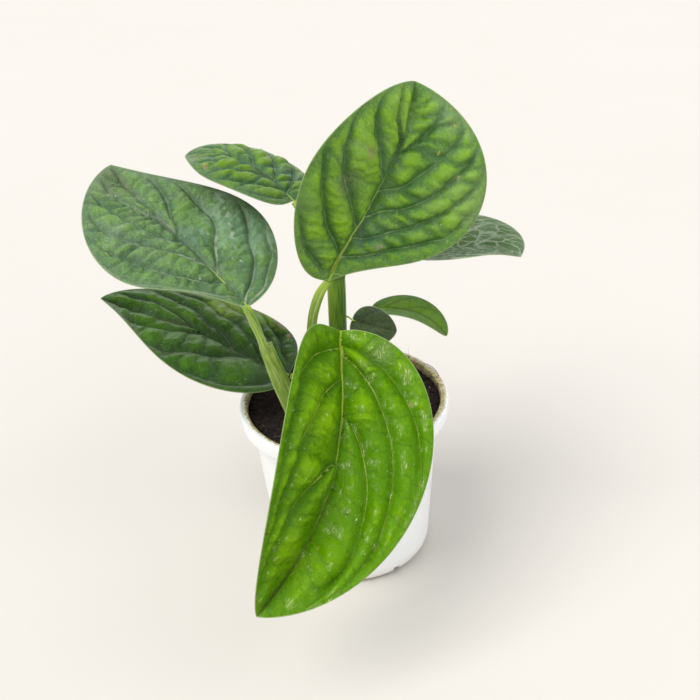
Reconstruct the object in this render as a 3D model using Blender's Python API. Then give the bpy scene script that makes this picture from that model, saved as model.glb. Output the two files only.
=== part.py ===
"""A young monstera with puckered leaves, growing in a white plastic nursery pot.

Frame: the origin is the centre of the pot's base, +X to the right, +Y to the back, +Z up, in metres.
Driving dimensions are in millimetres and degrees, and become metres where a mesh is made.
A leaf is a flat outline that is laid along a curved midrib, then folded and curled to each side.
A stalk is a tube along a smooth curve. It starts at the stem, and ends at the base of its leaf.
"""

import math
from typing import NamedTuple

import bmesh
import bpy
import numpy as np

MM = 0.001
GAP = 0.3  # clearance between two pieces that touch on the plant

# Pot, turned about +Z
POT_HEIGHT = 88.0
RIM_RADIUS = 52.5
NECK_RADIUS = 46.9  # outer wall under the shoulder
FOOT_RADIUS = 41.5
FOOT_ROUNDING = 4.0
WALL = 1.3
BASE_THICKNESS = 1.8
SHOULDER_Z = 80.0
SHOULDER_STEP = 3.0  # how far the wall steps out above the shoulder
SHOULDER_RISE = 0.9
SKIRT_LENGTH = 7.0
POT_SEGMENTS = 48
INNER_LIP = 0.8  # rounding of the mouth's inner edge
DRAIN_COUNT = 6
DRAIN_RADIUS = 2.6
DRAIN_RING = 25.0
NOTCH_COUNT = 4
NOTCH_RADIUS = 2.2
NOTCH_RING = 39.9
HOLE_TURN = 0.35  # where the first hole stands, as a share of one step around the ring
HOLE_DEPTH = 4.0

# Soil
SOIL_Z = 84.2
SOIL_RINGS = (0.0, 9.0, 18.0, 27.0, 35.0, 42.0)
MOUND_HEIGHT = 0.45
HOLLOW_HEIGHT = 0.3

# Leaf blades
LEAF_THICKNESS = 1.0
TIP_END = 0.9995  # the tip and the base end in a short edge, not in a point
BASE_START = 0.004
LOBE_PLACE = 0.10
VEIN_LAG = 0.56  # how much nearer to the base a side vein leaves the midrib than it meets the margin
VEIN_SWEEP = 0.4  # how much of that way it makes up in its outer part

SHARP_ANGLE = math.radians(40)
SHEATH_BORE_SQUASH = 0.9


class Half(NamedTuple):
    """One side of a blade: widest width, how round it is at the base and the tip, the lobe behind the
    base as a share of the length, and the fold at the midrib and the curl towards the margin."""

    width: float
    base_power: float
    tip_power: float
    lobe: float
    fold: float
    curl: float


class Leaf(NamedTuple):
    """A blade's place and shape. up is the way its upper face looks, arch and sway bend the midrib up
    and sideways at one third and two thirds of its length, and twist turns the tip against the base."""

    base: tuple
    tip: tuple
    up: tuple
    arch: tuple
    sway: tuple
    twist: float
    right: Half
    left: Half
    rows: int
    columns: int


LEAVES = {
    "leaf_top": Leaf(
        (-3.5, -7, 155.5), (41, 26.5, 235.5), (0.44, -0.89, 0.13), (2.5, 18.5), (2.5, 3.5), 1,
        Half(48, 0.94, 0.71, -0.05, 11, 1), Half(45, 0.76, 0.91, 0.07, 21, -11), 17, 6,
    ),
    "leaf_upper_left": Leaf(
        (-39.3, -27, 154.8), (-104, 38.5, 202), (0.39, -0.25, 0.89), (7.5, 0), (-1.5, -5.5), 2,
        Half(42.5, 0.68, 0.96, 0.02, 4, 8), Half(43.5, 0.69, 0.91, -0.09, 8, -20), 17, 6,
    ),
    "leaf_lower_left": Leaf(
        (-26.5, 4, 99.5), (-117.5, 22.5, 139.5), (0.39, -0.09, 0.92), (7, -1.5), (-1.5, 11), 7,
        Half(38, 0.43, 0.81, 0.04, 9, -19), Half(37.5, 0.53, 0.87, 0, 12, -26), 17, 6,
    ),
    "leaf_front": Leaf(
        (0.7, -18, 135.5), (-42, -106, 48), (0.37, -0.74, 0.56), (10, 10), (-17.5, -19), 0,
        Half(38, 0.55, 0.8, 0.06, 28, 3), Half(41, 0.54, 0.83, 0, 24, -4), 19, 6,
    ),
    "leaf_back_left": Leaf(
        (-17.5, 20, 185), (-70.5, 54, 199.5), (0.22, -0.07, 0.97), (10, 10), (5, 9), -4,
        Half(29.5, 0.6, 0.74, 0.04, 8, -39), Half(29, 0.65, 0.72, 0.07, 9, -25), 14, 5,
    ),
    "leaf_back_right": Leaf(
        (26.7, 32, 154.7), (91.5, 23, 148), (0.07, -0.23, 0.97), (-1.5, 4), (5.5, -10), -3.5,
        Half(21.5, 0.51, 0.67, 0.04, 24, -3), Half(23, 0.55, 0.48, 0.04, 17, -12), 14, 5,
    ),
    "leaf_small_dark": Leaf(
        (6.5, -1, 131.5), (27.5, -4, 125.5), (0.0, -0.83, 0.56), (5.5, 5), (1, 1), 0,
        Half(10, 0.54, 0.77, 0, 12, -9), Half(9, 0.52, 0.76, 0, 14, -8), 9, 3,
    ),
    "leaf_small_right": Leaf(
        (16.3, 16, 126.6), (52.5, 4, 116.5), (0.23, -0.13, 0.96), (7.5, 9), (-2, -3), 1.5,
        Half(11, 0.6, 0.68, 0.04, 16, -2), Half(11.5, 0.61, 0.66, 0.04, 13, -9), 10, 3,
    ),
}

# The stem and the stalks: points on the centre line, with the radius at each
STEM = (
    ((-1.8, 5, 50), 3.9), ((-1.6, 5, 70), 4.2), ((-1.5, 5, 90), 4.7), ((-1.2, 5, 100), 4.3),
    ((-0.6, 4.5, 125), 4.3), ((0.0, 4.7, 145), 4.35), ((0.1, 6.5, 156), 4.1), ((-0.6, 9.5, 166), 3.5),
    ((-1.6, 12.5, 174), 2.2),
)
STALKS = {
    "stalk_top": (
        ((-2, 3.5, 97), 2.8), ((-9.5, -0.5, 106.5), 2.4), ((-13.2, -4, 122), 2.35),
        ((-12.0, -6.4, 136.5), 2.3), ((-8.2, -7.2, 148.5), 2.3), ((-3.9, -7, 155.0), 1.7),
    ),
    "stalk_lower_left": (
        ((-2, 4.6, 91), 2.6), ((-10, 4.2, 93.2), 2.2), ((-18.5, 4, 95.6), 2.0), ((-26.0, 4, 99.0), 1.6),
    ),
    "stalk_front": (
        ((-0.6, 3.5, 108), 2.7), ((-0.4, -4, 112), 2.3), ((0.0, -11.5, 117.5), 2.1),
        ((0.1, -16.9, 125), 1.9), ((0.5, -19.0, 132.1), 1.6),
    ),
    "stalk_back_left": (
        ((-1.2, 11, 168), 2.4), ((-7, 12.5, 174), 2.0), ((-13, 15.5, 180), 1.9),
        ((-17.2, 19.6, 184.6), 1.5),
    ),
    "stalk_back_right": (
        ((0, 6, 148), 2.5), ((5, 18, 153), 2.0), ((13, 31, 156.5), 1.8), ((20.5, 34.3, 156.3), 1.6),
        ((26.1, 32.2, 154.9), 1.3),
    ),
    "stalk_small_dark": (
        ((0, 4.5, 131), 0.55), ((4.2, 1.5, 132), 0.45), ((6.2, -0.8, 131.6), 0.4),
    ),
    "stalk_small_right": (
        ((0, 5.5, 108), 1.9), ((6, 9, 115), 1.3), ((11.5, 13, 122), 1.1), ((15.9, 15.9, 126.4), 0.9),
    ),
}
# The thick stalk with its open sheath: centre line, half width
SHEATHED_STALK = (
    ((-15.5, -20, 58), 4.4), ((-19.9, -21.2, 78), 4.4), ((-23.6, -22.4, 94), 4.3),
    ((-28.0, -23.8, 112), 4.2), ((-31.1, -24.9, 124), 4.1), ((-33.9, -25.7, 134), 3.2),
    ((-36.6, -26.5, 144), 3.0), ((-39.0, -27, 154.1), 2.4),
)
# Outline of its cross-section, in half widths: x across, y to the front, where the channel is open
SHEATH_SECTION = (
    (-1.0, 0.42), (-0.98, 0.0), (-0.75, -0.45), (-0.4, -0.68), (0.0, -0.76), (0.4, -0.68), (0.75, -0.45),
    (0.98, 0.0), (1.0, 0.42), (0.84, 0.42), (0.7, 0.02), (0.38, -0.2), (0.0, -0.27), (-0.38, -0.2),
    (-0.7, 0.02), (-0.84, 0.42),
)


def material(name, colour, roughness):
    made = bpy.data.materials.new(name)
    made.use_nodes = True
    shader = made.node_tree.nodes["Principled BSDF"]
    shader.inputs["Base Color"].default_value = (*colour, 1.0)
    shader.inputs["Roughness"].default_value = roughness
    shader.inputs["Metallic"].default_value = 0.0
    return made


def add_object(name, vertices, faces, finish=None):
    """A closed body from vertices in millimetres. Its faces are turned outwards and shaded smooth."""
    mesh = bpy.data.meshes.new(name)
    mesh.from_pydata([tuple(MM * float(c) for c in v) for v in vertices], [], faces)
    shape = bmesh.new()
    shape.from_mesh(mesh)
    bmesh.ops.recalc_face_normals(shape, faces=shape.faces)
    shape.to_mesh(mesh)
    shape.free()
    mesh.shade_smooth()
    mesh.set_sharp_from_angle(angle=SHARP_ANGLE)
    made = bpy.data.objects.new(name, mesh)
    bpy.context.scene.collection.objects.link(made)
    if finish:
        mesh.materials.append(finish)
    else:
        made.hide_render = True
        made.display_type = "WIRE"
    return made


def cut(target, cutter):
    boolean = target.modifiers.new("cut_" + cutter.name, "BOOLEAN")
    boolean.operation = "DIFFERENCE"
    boolean.solver = "EXACT"
    boolean.object = cutter


def rings_to_body(rings):
    """Joins rings of points into a skin. A ring of one point is a pole, and other ends are capped."""
    vertices = [point for ring in rings for point in ring]
    starts = np.cumsum([0] + [len(ring) for ring in rings])
    faces = []
    for lower, upper, a, b in zip(rings, rings[1:], starts, starts[1:]):
        count = max(len(lower), len(upper))
        for i in range(count):
            j = (i + 1) % count
            if len(lower) == 1:
                faces.append((a, b + j, b + i))
            elif len(upper) == 1:
                faces.append((a + i, a + j, b))
            else:
                faces.append((a + i, a + j, b + j, b + i))
    for ring, start in ((rings[0], starts[0]), (rings[-1], starts[-2])):
        if len(ring) > 1:
            faces.append(tuple(range(start, start + len(ring))))
    return vertices, faces


def turned(profile, segments):
    """Turns (radius, z) points about +Z."""
    angles = np.arange(segments) * 2 * math.pi / segments
    rings = []
    for radius, z in profile:
        if radius == 0:
            rings.append([(0, 0, z)])
        else:
            rings.append([(radius * math.cos(t), radius * math.sin(t), z) for t in angles])
    return rings_to_body(rings)


def arc(centre, radius, start, end, steps):
    angles = np.radians(np.linspace(start, end, steps))
    return [(centre[0] + radius * math.cos(t), centre[1] + radius * math.sin(t)) for t in angles]


def unit(vector):
    return vector / np.linalg.norm(vector)


def smooth_curve(points, per_span):
    """A curve through the points, which leaves each one along the line between its neighbours."""
    points = np.array(points, float)
    padded = np.vstack([2 * points[0] - points[1], points, 2 * points[-1] - points[-2]])
    t = np.linspace(0, 1, per_span, endpoint=False)[:, None]
    spans = []
    for a, b, c, d in zip(padded, padded[1:], padded[2:], padded[3:]):
        square = (2 * a - 5 * b + 4 * c - d) * t**2
        cube = (3 * b - a - 3 * c + d) * t**3
        spans.append((2 * b + (c - a) * t + square + cube) / 2)
    return np.vstack(spans + [points[-1:]])


def swept(route, section, per_span, grow=0.0, front=(0, -1, 0)):
    """Sweeps a section, given in units of the radius, along a route of (point, radius)."""
    curve = smooth_curve([(*point, radius) for point, radius in route], per_span)
    centres, radii = curve[:, :3], curve[:, 3] + grow
    ways = np.gradient(centres, axis=0)
    rings = []
    for centre, radius, way in zip(centres, radii, ways):
        across = unit(np.cross(way, front))
        forward = unit(np.cross(across, way))
        rings.append([centre + radius * (x * across + y * forward) for x, y in section])
    return rings_to_body(rings)


def circle(sides, squash=1.0):
    angles = np.arange(sides) * 2 * math.pi / sides
    return [(math.cos(t), squash * math.sin(t)) for t in angles]


def bezier(handles, t):
    a, b, c, d = (np.array(h, float) for h in handles)
    t = t[:, None]
    point = (1 - t) ** 3 * a + 3 * t * (1 - t) ** 2 * b + 3 * t**2 * (1 - t) * c + t**3 * d
    way = (1 - t) ** 2 * (b - a) + 2 * t * (1 - t) * (c - b) + t**2 * (d - c)
    return point, way / np.linalg.norm(way, axis=1)[:, None]


class Midrib:
    """The midrib's points and its frame: along it, up from the blade, and to the right."""

    def __init__(self, leaf):
        base, tip = np.array(leaf.base, float), np.array(leaf.tip, float)
        chord = tip - base
        up = unit(np.array(leaf.up) - chord * np.dot(leaf.up, chord) / np.dot(chord, chord))
        right = np.cross(unit(chord), up)
        handles = [base]
        for share, arch, sway in zip((1 / 3, 2 / 3), leaf.arch, leaf.sway):
            handles.append(base + chord * share + up * arch + right * sway)
        handles.append(tip)
        t = np.linspace(0, 1, 61)
        self.points, self.along = bezier(handles, t)
        steps = np.linalg.norm(np.diff(self.points, axis=0), axis=1)
        self.distance = np.concatenate([[0], np.cumsum(steps)])
        self.length = self.distance[-1]
        up = up - self.along * (self.along @ up)[:, None]
        up = up / np.linalg.norm(up, axis=1)[:, None]
        side = np.cross(self.along, up)
        turn = (np.radians(leaf.twist) * (t - 0.5))[:, None]
        self.up = up * np.cos(turn) + side * np.sin(turn)
        self.right = np.cross(self.along, self.up)

    def at(self, y):
        """Point, along, up and right at the distance y. Past the ends the midrib runs on straight."""
        inside = np.clip(y, 0, self.length)
        columns = (self.points, self.along, self.up, self.right)
        found = [
            np.stack([np.interp(inside, self.distance, c[:, k]) for k in range(3)], -1) for c in columns
        ]
        found[0] = found[0] + found[1] * (y - inside)[..., None]
        return found


def blade_point(midrib, half, side, u, v):
    """Where the blade is, and which way its upper face looks. u runs from base to tip along the margin,
    v from the midrib to the margin."""
    peak = half.base_power / (half.base_power + half.tip_power)
    full = peak**half.base_power * (1 - peak) ** half.tip_power
    across = half.width * v * u**half.base_power * (1 - u) ** half.tip_power / full
    lobe = half.lobe * (u / LOBE_PLACE) * np.exp(1 - u / LOBE_PLACE)
    margin_y = midrib.length * (u - lobe)
    midrib_y = midrib.length * (u - VEIN_LAG * u * (1 - u))
    sweep = (1 - VEIN_SWEEP) * v + VEIN_SWEEP * v**2
    centre, _, up, right = midrib.at(midrib_y + (margin_y - midrib_y) * sweep)
    bend = math.radians(half.curl) / half.width
    start = math.radians(half.fold)
    angle = start + bend * across
    outward = (np.sin(angle) - math.sin(start)) / bend
    upward = (math.cos(start) - np.cos(angle)) / bend
    point = centre + right * (side * outward)[..., None] + up * upward[..., None]
    normal = up * np.cos(angle)[..., None] - right * (side * np.sin(angle))[..., None]
    return point, normal


def blade_body(leaf, grow=0.0):
    """A closed sheet: the upper face, the lower face and the margin between them."""
    midrib = Midrib(leaf)
    share = (1 - np.cos(np.linspace(0, math.pi, leaf.rows + 1))) / 2
    u = BASE_START + (TIP_END - BASE_START) * share
    v = np.linspace(0, 1, leaf.columns + 1)
    u, v = np.meshgrid(u, v, indexing="ij")
    left, left_up = blade_point(midrib, leaf.left, -1, u, v)
    right, right_up = blade_point(midrib, leaf.right, 1, u, v)
    sheet = np.concatenate([left[:, :0:-1], right], axis=1)
    normal = np.concatenate([left_up[:, :0:-1], right_up], axis=1)
    normal[:, leaf.columns] = left_up[:, 0] + right_up[:, 0]
    normal = normal / np.linalg.norm(normal, axis=-1)[..., None]
    half = LEAF_THICKNESS / 2 + grow
    upper, lower = sheet + normal * half, sheet - normal * half
    rows, columns = sheet.shape[:2]
    ids = np.arange(rows * columns).reshape(rows, columns)
    faces = []
    for face, turn in ((ids, 1), (ids + ids.size, -1)):
        corners = np.stack([face[:-1, :-1], face[:-1, 1:], face[1:, 1:], face[1:, :-1]], -1)
        faces += [tuple(int(i) for i in quad[::turn]) for quad in corners.reshape(-1, 4)]
    rim = list(ids[0]) + list(ids[1:, -1]) + list(ids[-1, -2::-1]) + list(ids[-2:0:-1, 0])
    for a, b in zip(rim, rim[1:] + rim[:1]):
        faces.append((int(a), int(b), int(b + ids.size), int(a + ids.size)))
    return np.concatenate([upper.reshape(-1, 3), lower.reshape(-1, 3)]), faces


def inner_radius(z):
    """The pot's inner wall, up to the shoulder."""
    share = (z - FOOT_ROUNDING) / (SHOULDER_Z - FOOT_ROUNDING)
    return FOOT_RADIUS + (NECK_RADIUS - FOOT_RADIUS) * share - WALL


def pot():
    upper_outer = NECK_RADIUS + SHOULDER_STEP
    upper_inner = upper_outer - WALL
    skirt_foot = POT_HEIGHT - SKIRT_LENGTH
    inner_shoulder = SHOULDER_Z + WALL
    foot_centre = FOOT_RADIUS - FOOT_ROUNDING
    outer_wall = [
        (NECK_RADIUS, SHOULDER_Z),
        (upper_outer, SHOULDER_Z + SHOULDER_RISE),
        (upper_outer, POT_HEIGHT - WALL),
    ]
    skirt = [
        (RIM_RADIUS - WALL, POT_HEIGHT - WALL),
        (RIM_RADIUS - WALL, skirt_foot),
        (RIM_RADIUS, skirt_foot),
    ]
    inner_wall = [
        (upper_inner, inner_shoulder + SHOULDER_RISE),
        (inner_radius(inner_shoulder), inner_shoulder),
    ]
    profile = (
        [(0, 0)]
        + arc((foot_centre, FOOT_ROUNDING), FOOT_ROUNDING, -90, 0, 5)
        + outer_wall
        + skirt
        + arc((RIM_RADIUS - WALL, POT_HEIGHT - WALL), WALL, 0, 90, 4)
        + arc((upper_inner + INNER_LIP, POT_HEIGHT - INNER_LIP), INNER_LIP, 90, 180, 3)
        + inner_wall
        + arc((foot_centre, BASE_THICKNESS + FOOT_ROUNDING - WALL), FOOT_ROUNDING - WALL, 0, -90, 4)
        + [(0, BASE_THICKNESS)]
    )
    white = material("white_plastic", (0.86, 0.86, 0.84), 0.25)
    body = add_object("pot", *turned(profile, POT_SEGMENTS), white)
    for name, count, radius, ring in (
        ("drain_hole", DRAIN_COUNT, DRAIN_RADIUS, DRAIN_RING),
        ("foot_notch", NOTCH_COUNT, NOTCH_RADIUS, NOTCH_RING),
    ):
        for i in range(count):
            angle = 2 * math.pi * (i + HOLE_TURN) / count
            x, y = ring * math.cos(angle), ring * math.sin(angle)
            ends = [[(x + radius * a, y + radius * b, z) for a, b in circle(12)] for z in (-1, HOLE_DEPTH)]
            cut(body, add_object(f"{name}_{i}", *rings_to_body(ends)))


def soil_height(x, y):
    return SOIL_Z + MOUND_HEIGHT * math.sin(x / 5 + 1) * math.cos(y / 6) + HOLLOW_HEIGHT * math.sin(y / 4)


def soil():
    """Fills the pot, with an uneven top. The stem and the thick stalk stand in bores of their own."""
    angles = np.arange(POT_SEGMENTS) * 2 * math.pi / POT_SEGMENTS
    floor = BASE_THICKNESS + GAP
    corner = BASE_THICKNESS + FOOT_ROUNDING
    shoulder = SHOULDER_Z + WALL + GAP
    wall = [
        (FOOT_RADIUS - FOOT_ROUNDING, floor),
        (inner_radius(corner) - WALL, corner - WALL),
        (inner_radius(2 * corner), 2 * corner),
        (inner_radius(shoulder), shoulder),
        (NECK_RADIUS + SHOULDER_STEP - WALL, shoulder + SHOULDER_RISE),
    ]
    rings = [[(0, 0, floor)]]
    for radius, z in wall:
        rings.append([((radius - GAP) * math.cos(t), (radius - GAP) * math.sin(t), z) for t in angles])
    for radius in reversed(SOIL_RINGS[1:]):
        ring = [(radius * math.cos(t), radius * math.sin(t)) for t in angles]
        rings.append([(x, y, soil_height(x, y)) for x, y in ring])
    rings.append([(0, 0, SOIL_Z)])
    body = add_object("soil", *rings_to_body(rings), material("potting_mix", (0.02, 0.014, 0.011), 0.95))
    cut(body, add_object("stem_bore", *swept(STEM, circle(12), 2, grow=GAP)))
    sheath = swept(SHEATHED_STALK, circle(12, SHEATH_BORE_SQUASH), 2, grow=2 * GAP)
    cut(body, add_object("sheath_bore", *sheath))


def stems():
    green = material("stem_green", (0.16, 0.26, 0.05), 0.45)
    stalk_green = material("stalk_green", (0.25, 0.38, 0.08), 0.45)
    add_object("main_stem", *swept(STEM, circle(14), 2), green)
    clearance = add_object("stem_clearance", *swept(STEM, circle(14), 2, grow=GAP))
    for name, route in STALKS.items():
        stalk = add_object(name, *swept(route, circle(10), 3), stalk_green)
        cut(stalk, clearance)
    add_object("stalk_upper_left", *swept(SHEATHED_STALK, SHEATH_SECTION, 2), stalk_green)


def leaves():
    colours = {
        "leaf_top": (0.14, 0.30, 0.02), "leaf_upper_left": (0.07, 0.17, 0.06),
        "leaf_lower_left": (0.04, 0.12, 0.02), "leaf_front": (0.13, 0.34, 0.01),
        "leaf_back_left": (0.10, 0.22, 0.03), "leaf_back_right": (0.11, 0.20, 0.09),
        "leaf_small_dark": (0.03, 0.06, 0.02), "leaf_small_right": (0.08, 0.20, 0.02),
    }
    for name, leaf in LEAVES.items():
        add_object(name, *blade_body(leaf), material(name + "_green", colours[name], 0.4))


def main():
    for old in list(bpy.data.objects):
        bpy.data.objects.remove(old, do_unlink=True)
    pot()
    soil()
    stems()
    leaves()


main()
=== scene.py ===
"""Looks of the potted monstera: puckered leaves, green stalks, dark potting mix and a white nursery pot.

Lengths are in millimetres until a mesh is made. x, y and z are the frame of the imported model.
A blade is worked out flat first: x runs from the midrib to the margin, and y from the base to the tip.
The side veins divide the flat blade into strips, and each strip into cells that bulge upwards.
The flat blade is then laid along its midrib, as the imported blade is, and lifted by its relief.
"""

import math
from typing import NamedTuple

import bmesh
import bpy
import numpy as np
from mathutils import Matrix, Vector, noise


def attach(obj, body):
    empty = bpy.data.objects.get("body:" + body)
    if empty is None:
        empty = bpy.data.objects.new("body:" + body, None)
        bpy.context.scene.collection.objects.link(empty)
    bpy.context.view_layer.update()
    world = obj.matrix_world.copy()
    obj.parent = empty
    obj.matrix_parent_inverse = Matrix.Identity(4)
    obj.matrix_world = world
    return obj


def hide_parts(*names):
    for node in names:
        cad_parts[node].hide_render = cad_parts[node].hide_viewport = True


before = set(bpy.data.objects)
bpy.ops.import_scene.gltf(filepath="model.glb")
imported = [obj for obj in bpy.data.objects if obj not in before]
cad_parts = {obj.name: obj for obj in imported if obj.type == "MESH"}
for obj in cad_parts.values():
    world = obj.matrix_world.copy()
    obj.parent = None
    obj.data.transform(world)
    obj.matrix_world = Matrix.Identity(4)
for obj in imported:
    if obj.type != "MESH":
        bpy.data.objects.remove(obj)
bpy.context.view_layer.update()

MM = 0.001
TURN = 2 * math.pi

# ---------------------------------------------------------------- camera, light and floor

# The camera and the floor are in metres.
CAMERA_PLACE = (0.0046, -0.3809, 0.3349)
CAMERA_DOWN = math.radians(30.08)
CAMERA_ROLL = math.radians(-3.52)
CAMERA_LENS = 46.29
SKY_COLOUR = (0.93, 0.94, 1.0, 1)
SKY_STRENGTH = 0.78
# Each light: its name, the way that it comes from, its spread in degrees, its strength and its colour.
LIGHTS = (
    ("key", (-0.55, -0.30, 0.9), 44, 2.6, (1.0, 0.98, 0.95)),
    ("fill", (0.8, -0.6, 0.7), 60, 1.0, (0.97, 0.98, 1.0)),
    ("wall", (0.3, 0.85, 0.45), 70, 0.6, (0.97, 0.98, 1.0)),
)
FLOOR_REACH = 15.0
FLOOR_Z = -0.0002


def put(name, data):
    """A new object in the scene."""
    made = bpy.data.objects.new(name, data)
    bpy.context.scene.collection.objects.link(made)
    return made


def add_camera():
    camera = put("camera", bpy.data.cameras.new("camera"))
    camera.data.lens = CAMERA_LENS
    camera.data.clip_start = 0.01
    turn = Matrix.Rotation(math.pi / 2 - CAMERA_DOWN, 4, "X") @ Matrix.Rotation(CAMERA_ROLL, 4, "Z")
    camera.matrix_world = Matrix.Translation(CAMERA_PLACE) @ turn
    bpy.context.scene.camera = camera


def add_studio():
    scene = bpy.context.scene
    scene.view_settings.view_transform = "Standard"
    scene.world = bpy.data.worlds.new("studio")
    scene.world.use_nodes = True
    sky = scene.world.node_tree.nodes["Background"].inputs
    sky["Color"].default_value = SKY_COLOUR
    sky["Strength"].default_value = SKY_STRENGTH
    for name, way, spread, strength, colour in LIGHTS:
        light = bpy.data.lights.new(name, "SUN")
        light.angle = math.radians(spread)
        light.energy = strength
        light.color = colour
        put(name, light).rotation_euler = Vector(way).to_track_quat("Z", "Y").to_euler()
    mesh = bpy.data.meshes.new("floor")
    signs = (-1, -1), (1, -1), (1, 1), (-1, 1)
    mesh.from_pydata([(x * FLOOR_REACH, y * FLOOR_REACH, FLOOR_Z) for x, y in signs], [], [(0, 1, 2, 3)])
    mesh.materials.append(floor_material())
    floor = put("floor", mesh)


def floor_material():
    paint = Paint("floor_pale")
    cloud = paint.noise(paint.coordinates(1.0), 3.0, 4, 0.6)
    paint.colour = paint.mix(cloud, (0.575, 0.55, 0.50), (0.60, 0.575, 0.53))
    return paint.finish(0.9, 0.1)


# ---------------------------------------------------------------- materials


class Paint:
    """One material: its colour so far, and short names for the shader nodes that it is built from."""

    def __init__(self, name):
        self.material = bpy.data.materials.new(name)
        self.material.use_nodes = True
        self.tree = self.material.node_tree
        self.shader = self.tree.nodes["Principled BSDF"]
        self.colour = (0.0, 0.0, 0.0)

    def node(self, kind, inputs, **settings):
        made = self.tree.nodes.new("ShaderNode" + kind)
        for key, value in settings.items():
            setattr(made, key, value)
        for key, value in inputs.items():
            self.feed(made.inputs[key], value)
        return made

    def feed(self, socket, value):
        if isinstance(value, bpy.types.NodeSocket):
            self.tree.links.new(value, socket)
        elif isinstance(value, tuple) and socket.type == "RGBA":
            socket.default_value = (*value, 1.0)
        else:
            socket.default_value = value

    def attribute(self, name, output="Fac"):
        return self.node("Attribute", {}, attribute_name=name).outputs[output]

    def coordinates(self, per_metre):
        return self.scale(self.node("TexCoord", {}).outputs["Object"], (per_metre,) * 3)

    def math(self, operation, a, b=0.0):
        return self.node("Math", {0: a, 1: b}, operation=operation).outputs[0]

    def times(self, value, *others):
        for other in others:
            value = self.math("MULTIPLY", value, other)
        return value

    def plus(self, value, *others):
        for other in others:
            value = self.math("ADD", value, other)
        return value

    def span(self, value, low, high, first=0.0, last=1.0):
        """Turns low..high into first..last, smoothly and no further."""
        ports = {"Value": value, "From Min": low, "From Max": high, "To Min": first, "To Max": last}
        return self.node("MapRange", ports, interpolation_type="SMOOTHSTEP").outputs[0]

    def fade(self, value, low, high):
        """1 up to low and 0 from high on."""
        return self.span(value, low, high, 1.0, 0.0)

    def vector(self, operation, a, b=(0.0, 0.0, 0.0)):
        """A vector, or the number that a length, a distance or a dot product gives."""
        made = self.node("VectorMath", {0: a, 1: b}, operation=operation)
        return made.outputs["Value" if operation in ("LENGTH", "DISTANCE", "DOT_PRODUCT") else "Vector"]

    def scale(self, vector, by):
        return self.vector("MULTIPLY", vector, by)

    def split(self, vector):
        return self.node("SeparateXYZ", {0: vector}).outputs

    def noise(self, vector, scale, detail=2.0, roughness=0.5, output=0):
        ports = {"Vector": vector, "Scale": scale, "Detail": detail, "Roughness": roughness}
        return self.node("TexNoise", ports).outputs[output]

    def clouds(self, vector, scale, low, high, first=0.0, last=1.0, detail=3.0, roughness=0.5):
        """Noise whose low..high is turned into first..last."""
        return self.span(self.noise(vector, scale, detail, roughness), low, high, first, last)

    def warp(self, vector, scale, amount):
        """The vector, pushed about by noise."""
        push = self.noise(vector, scale, 2.0, 0.5, output=1)
        centred = self.vector("SUBTRACT", push, (0.5, 0.5, 0.5))
        return self.vector("ADD", vector, self.scale(centred, (amount,) * 3))

    def cell(self, vector, scale, feature="F1"):
        """In a pattern of random cells: the distance to the nearest middle, or to the nearest wall."""
        ports = {"Vector": vector, "Scale": scale}
        return self.node("TexVoronoi", ports, feature=feature).outputs["Distance"]

    def wall(self, vector, scale):
        return self.cell(vector, scale, "DISTANCE_TO_EDGE")

    def spots(self, vector, scale, low, high):
        """One round spot in each cell, which fades out from low to high."""
        return self.fade(self.cell(vector, scale), low, high)

    def mix(self, share, first, second):
        return self.node("Mix", {0: share, 6: first, 7: second}, data_type="RGBA").outputs[2]

    def coat(self, tint, *shares):
        """Lays a tint over the colour so far. Its share is the product of the shares."""
        self.colour = self.mix(self.times(*shares), self.colour, tint)

    def bump(self, height, strength, distance):
        ports = {"Height": height, "Strength": strength, "Distance": distance}
        self.feed(self.shader.inputs["Normal"], self.node("Bump", ports).outputs[0])

    def finish(self, roughness, shine=0.5):
        self.feed(self.shader.inputs["Base Color"], self.colour)
        self.feed(self.shader.inputs["Roughness"], roughness)
        self.feed(self.shader.inputs["Specular IOR Level"], shine)
        return self.material


# ---------------------------------------------------------------- meshes


def face_outward(mesh):
    """Turns the faces of each closed body of a mesh outward."""
    bodies = bmesh.new()
    bodies.from_mesh(mesh)
    bmesh.ops.recalc_face_normals(bodies, faces=bodies.faces)
    bodies.to_mesh(mesh)
    bodies.free()


def add_piece(name, points, faces, material, slot, node, fields, flat_map=None):
    """A piece from points in millimetres, with its vertex fields and the map that it is baked on."""
    mesh = bpy.data.meshes.new(name)
    mesh.from_pydata((points * MM).tolist(), [], faces)
    face_outward(mesh)
    for key, values in fields.items():
        kind, entry = ("FLOAT_VECTOR", "vector") if values.ndim == 2 else ("FLOAT", "value")
        data = mesh.attributes.new(key, kind, "POINT").data
        data.foreach_set(entry, values.astype(np.float32).ravel())
    if flat_map is not None:
        corners = np.empty(len(mesh.loops), np.int32)
        mesh.loops.foreach_get("vertex_index", corners)
        mesh.uv_layers.new(name="OFBake").data.foreach_set("uv", flat_map[corners].astype(np.float32).ravel())
    mesh.shade_smooth()
    mesh.materials.append(material)
    piece = put(name, mesh)
    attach(piece, "root")
    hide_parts(node)
    return piece


def grid_faces(rows, columns, closed=False):
    """Quads over a grid of points. A closed grid joins its last column to its first."""
    ids = np.arange(rows * columns).reshape(rows, columns)
    if closed:
        ids = np.concatenate([ids, ids[:, :1]], axis=1)
    return np.stack([ids[:-1, :-1], ids[:-1, 1:], ids[1:, 1:], ids[1:, :-1]], -1).reshape(-1, 4).tolist()


def grid_border(rows, columns):
    """The points around a grid, in order."""
    ids = np.arange(rows * columns).reshape(rows, columns)
    return np.concatenate([ids[0], ids[1:, -1], ids[-1, -2::-1], ids[-2:0:-1, 0]])


def band(above, below):
    """Quads between two rings of points."""
    return np.stack([above, np.roll(above, -1), np.roll(below, -1), below], -1).tolist()


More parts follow.
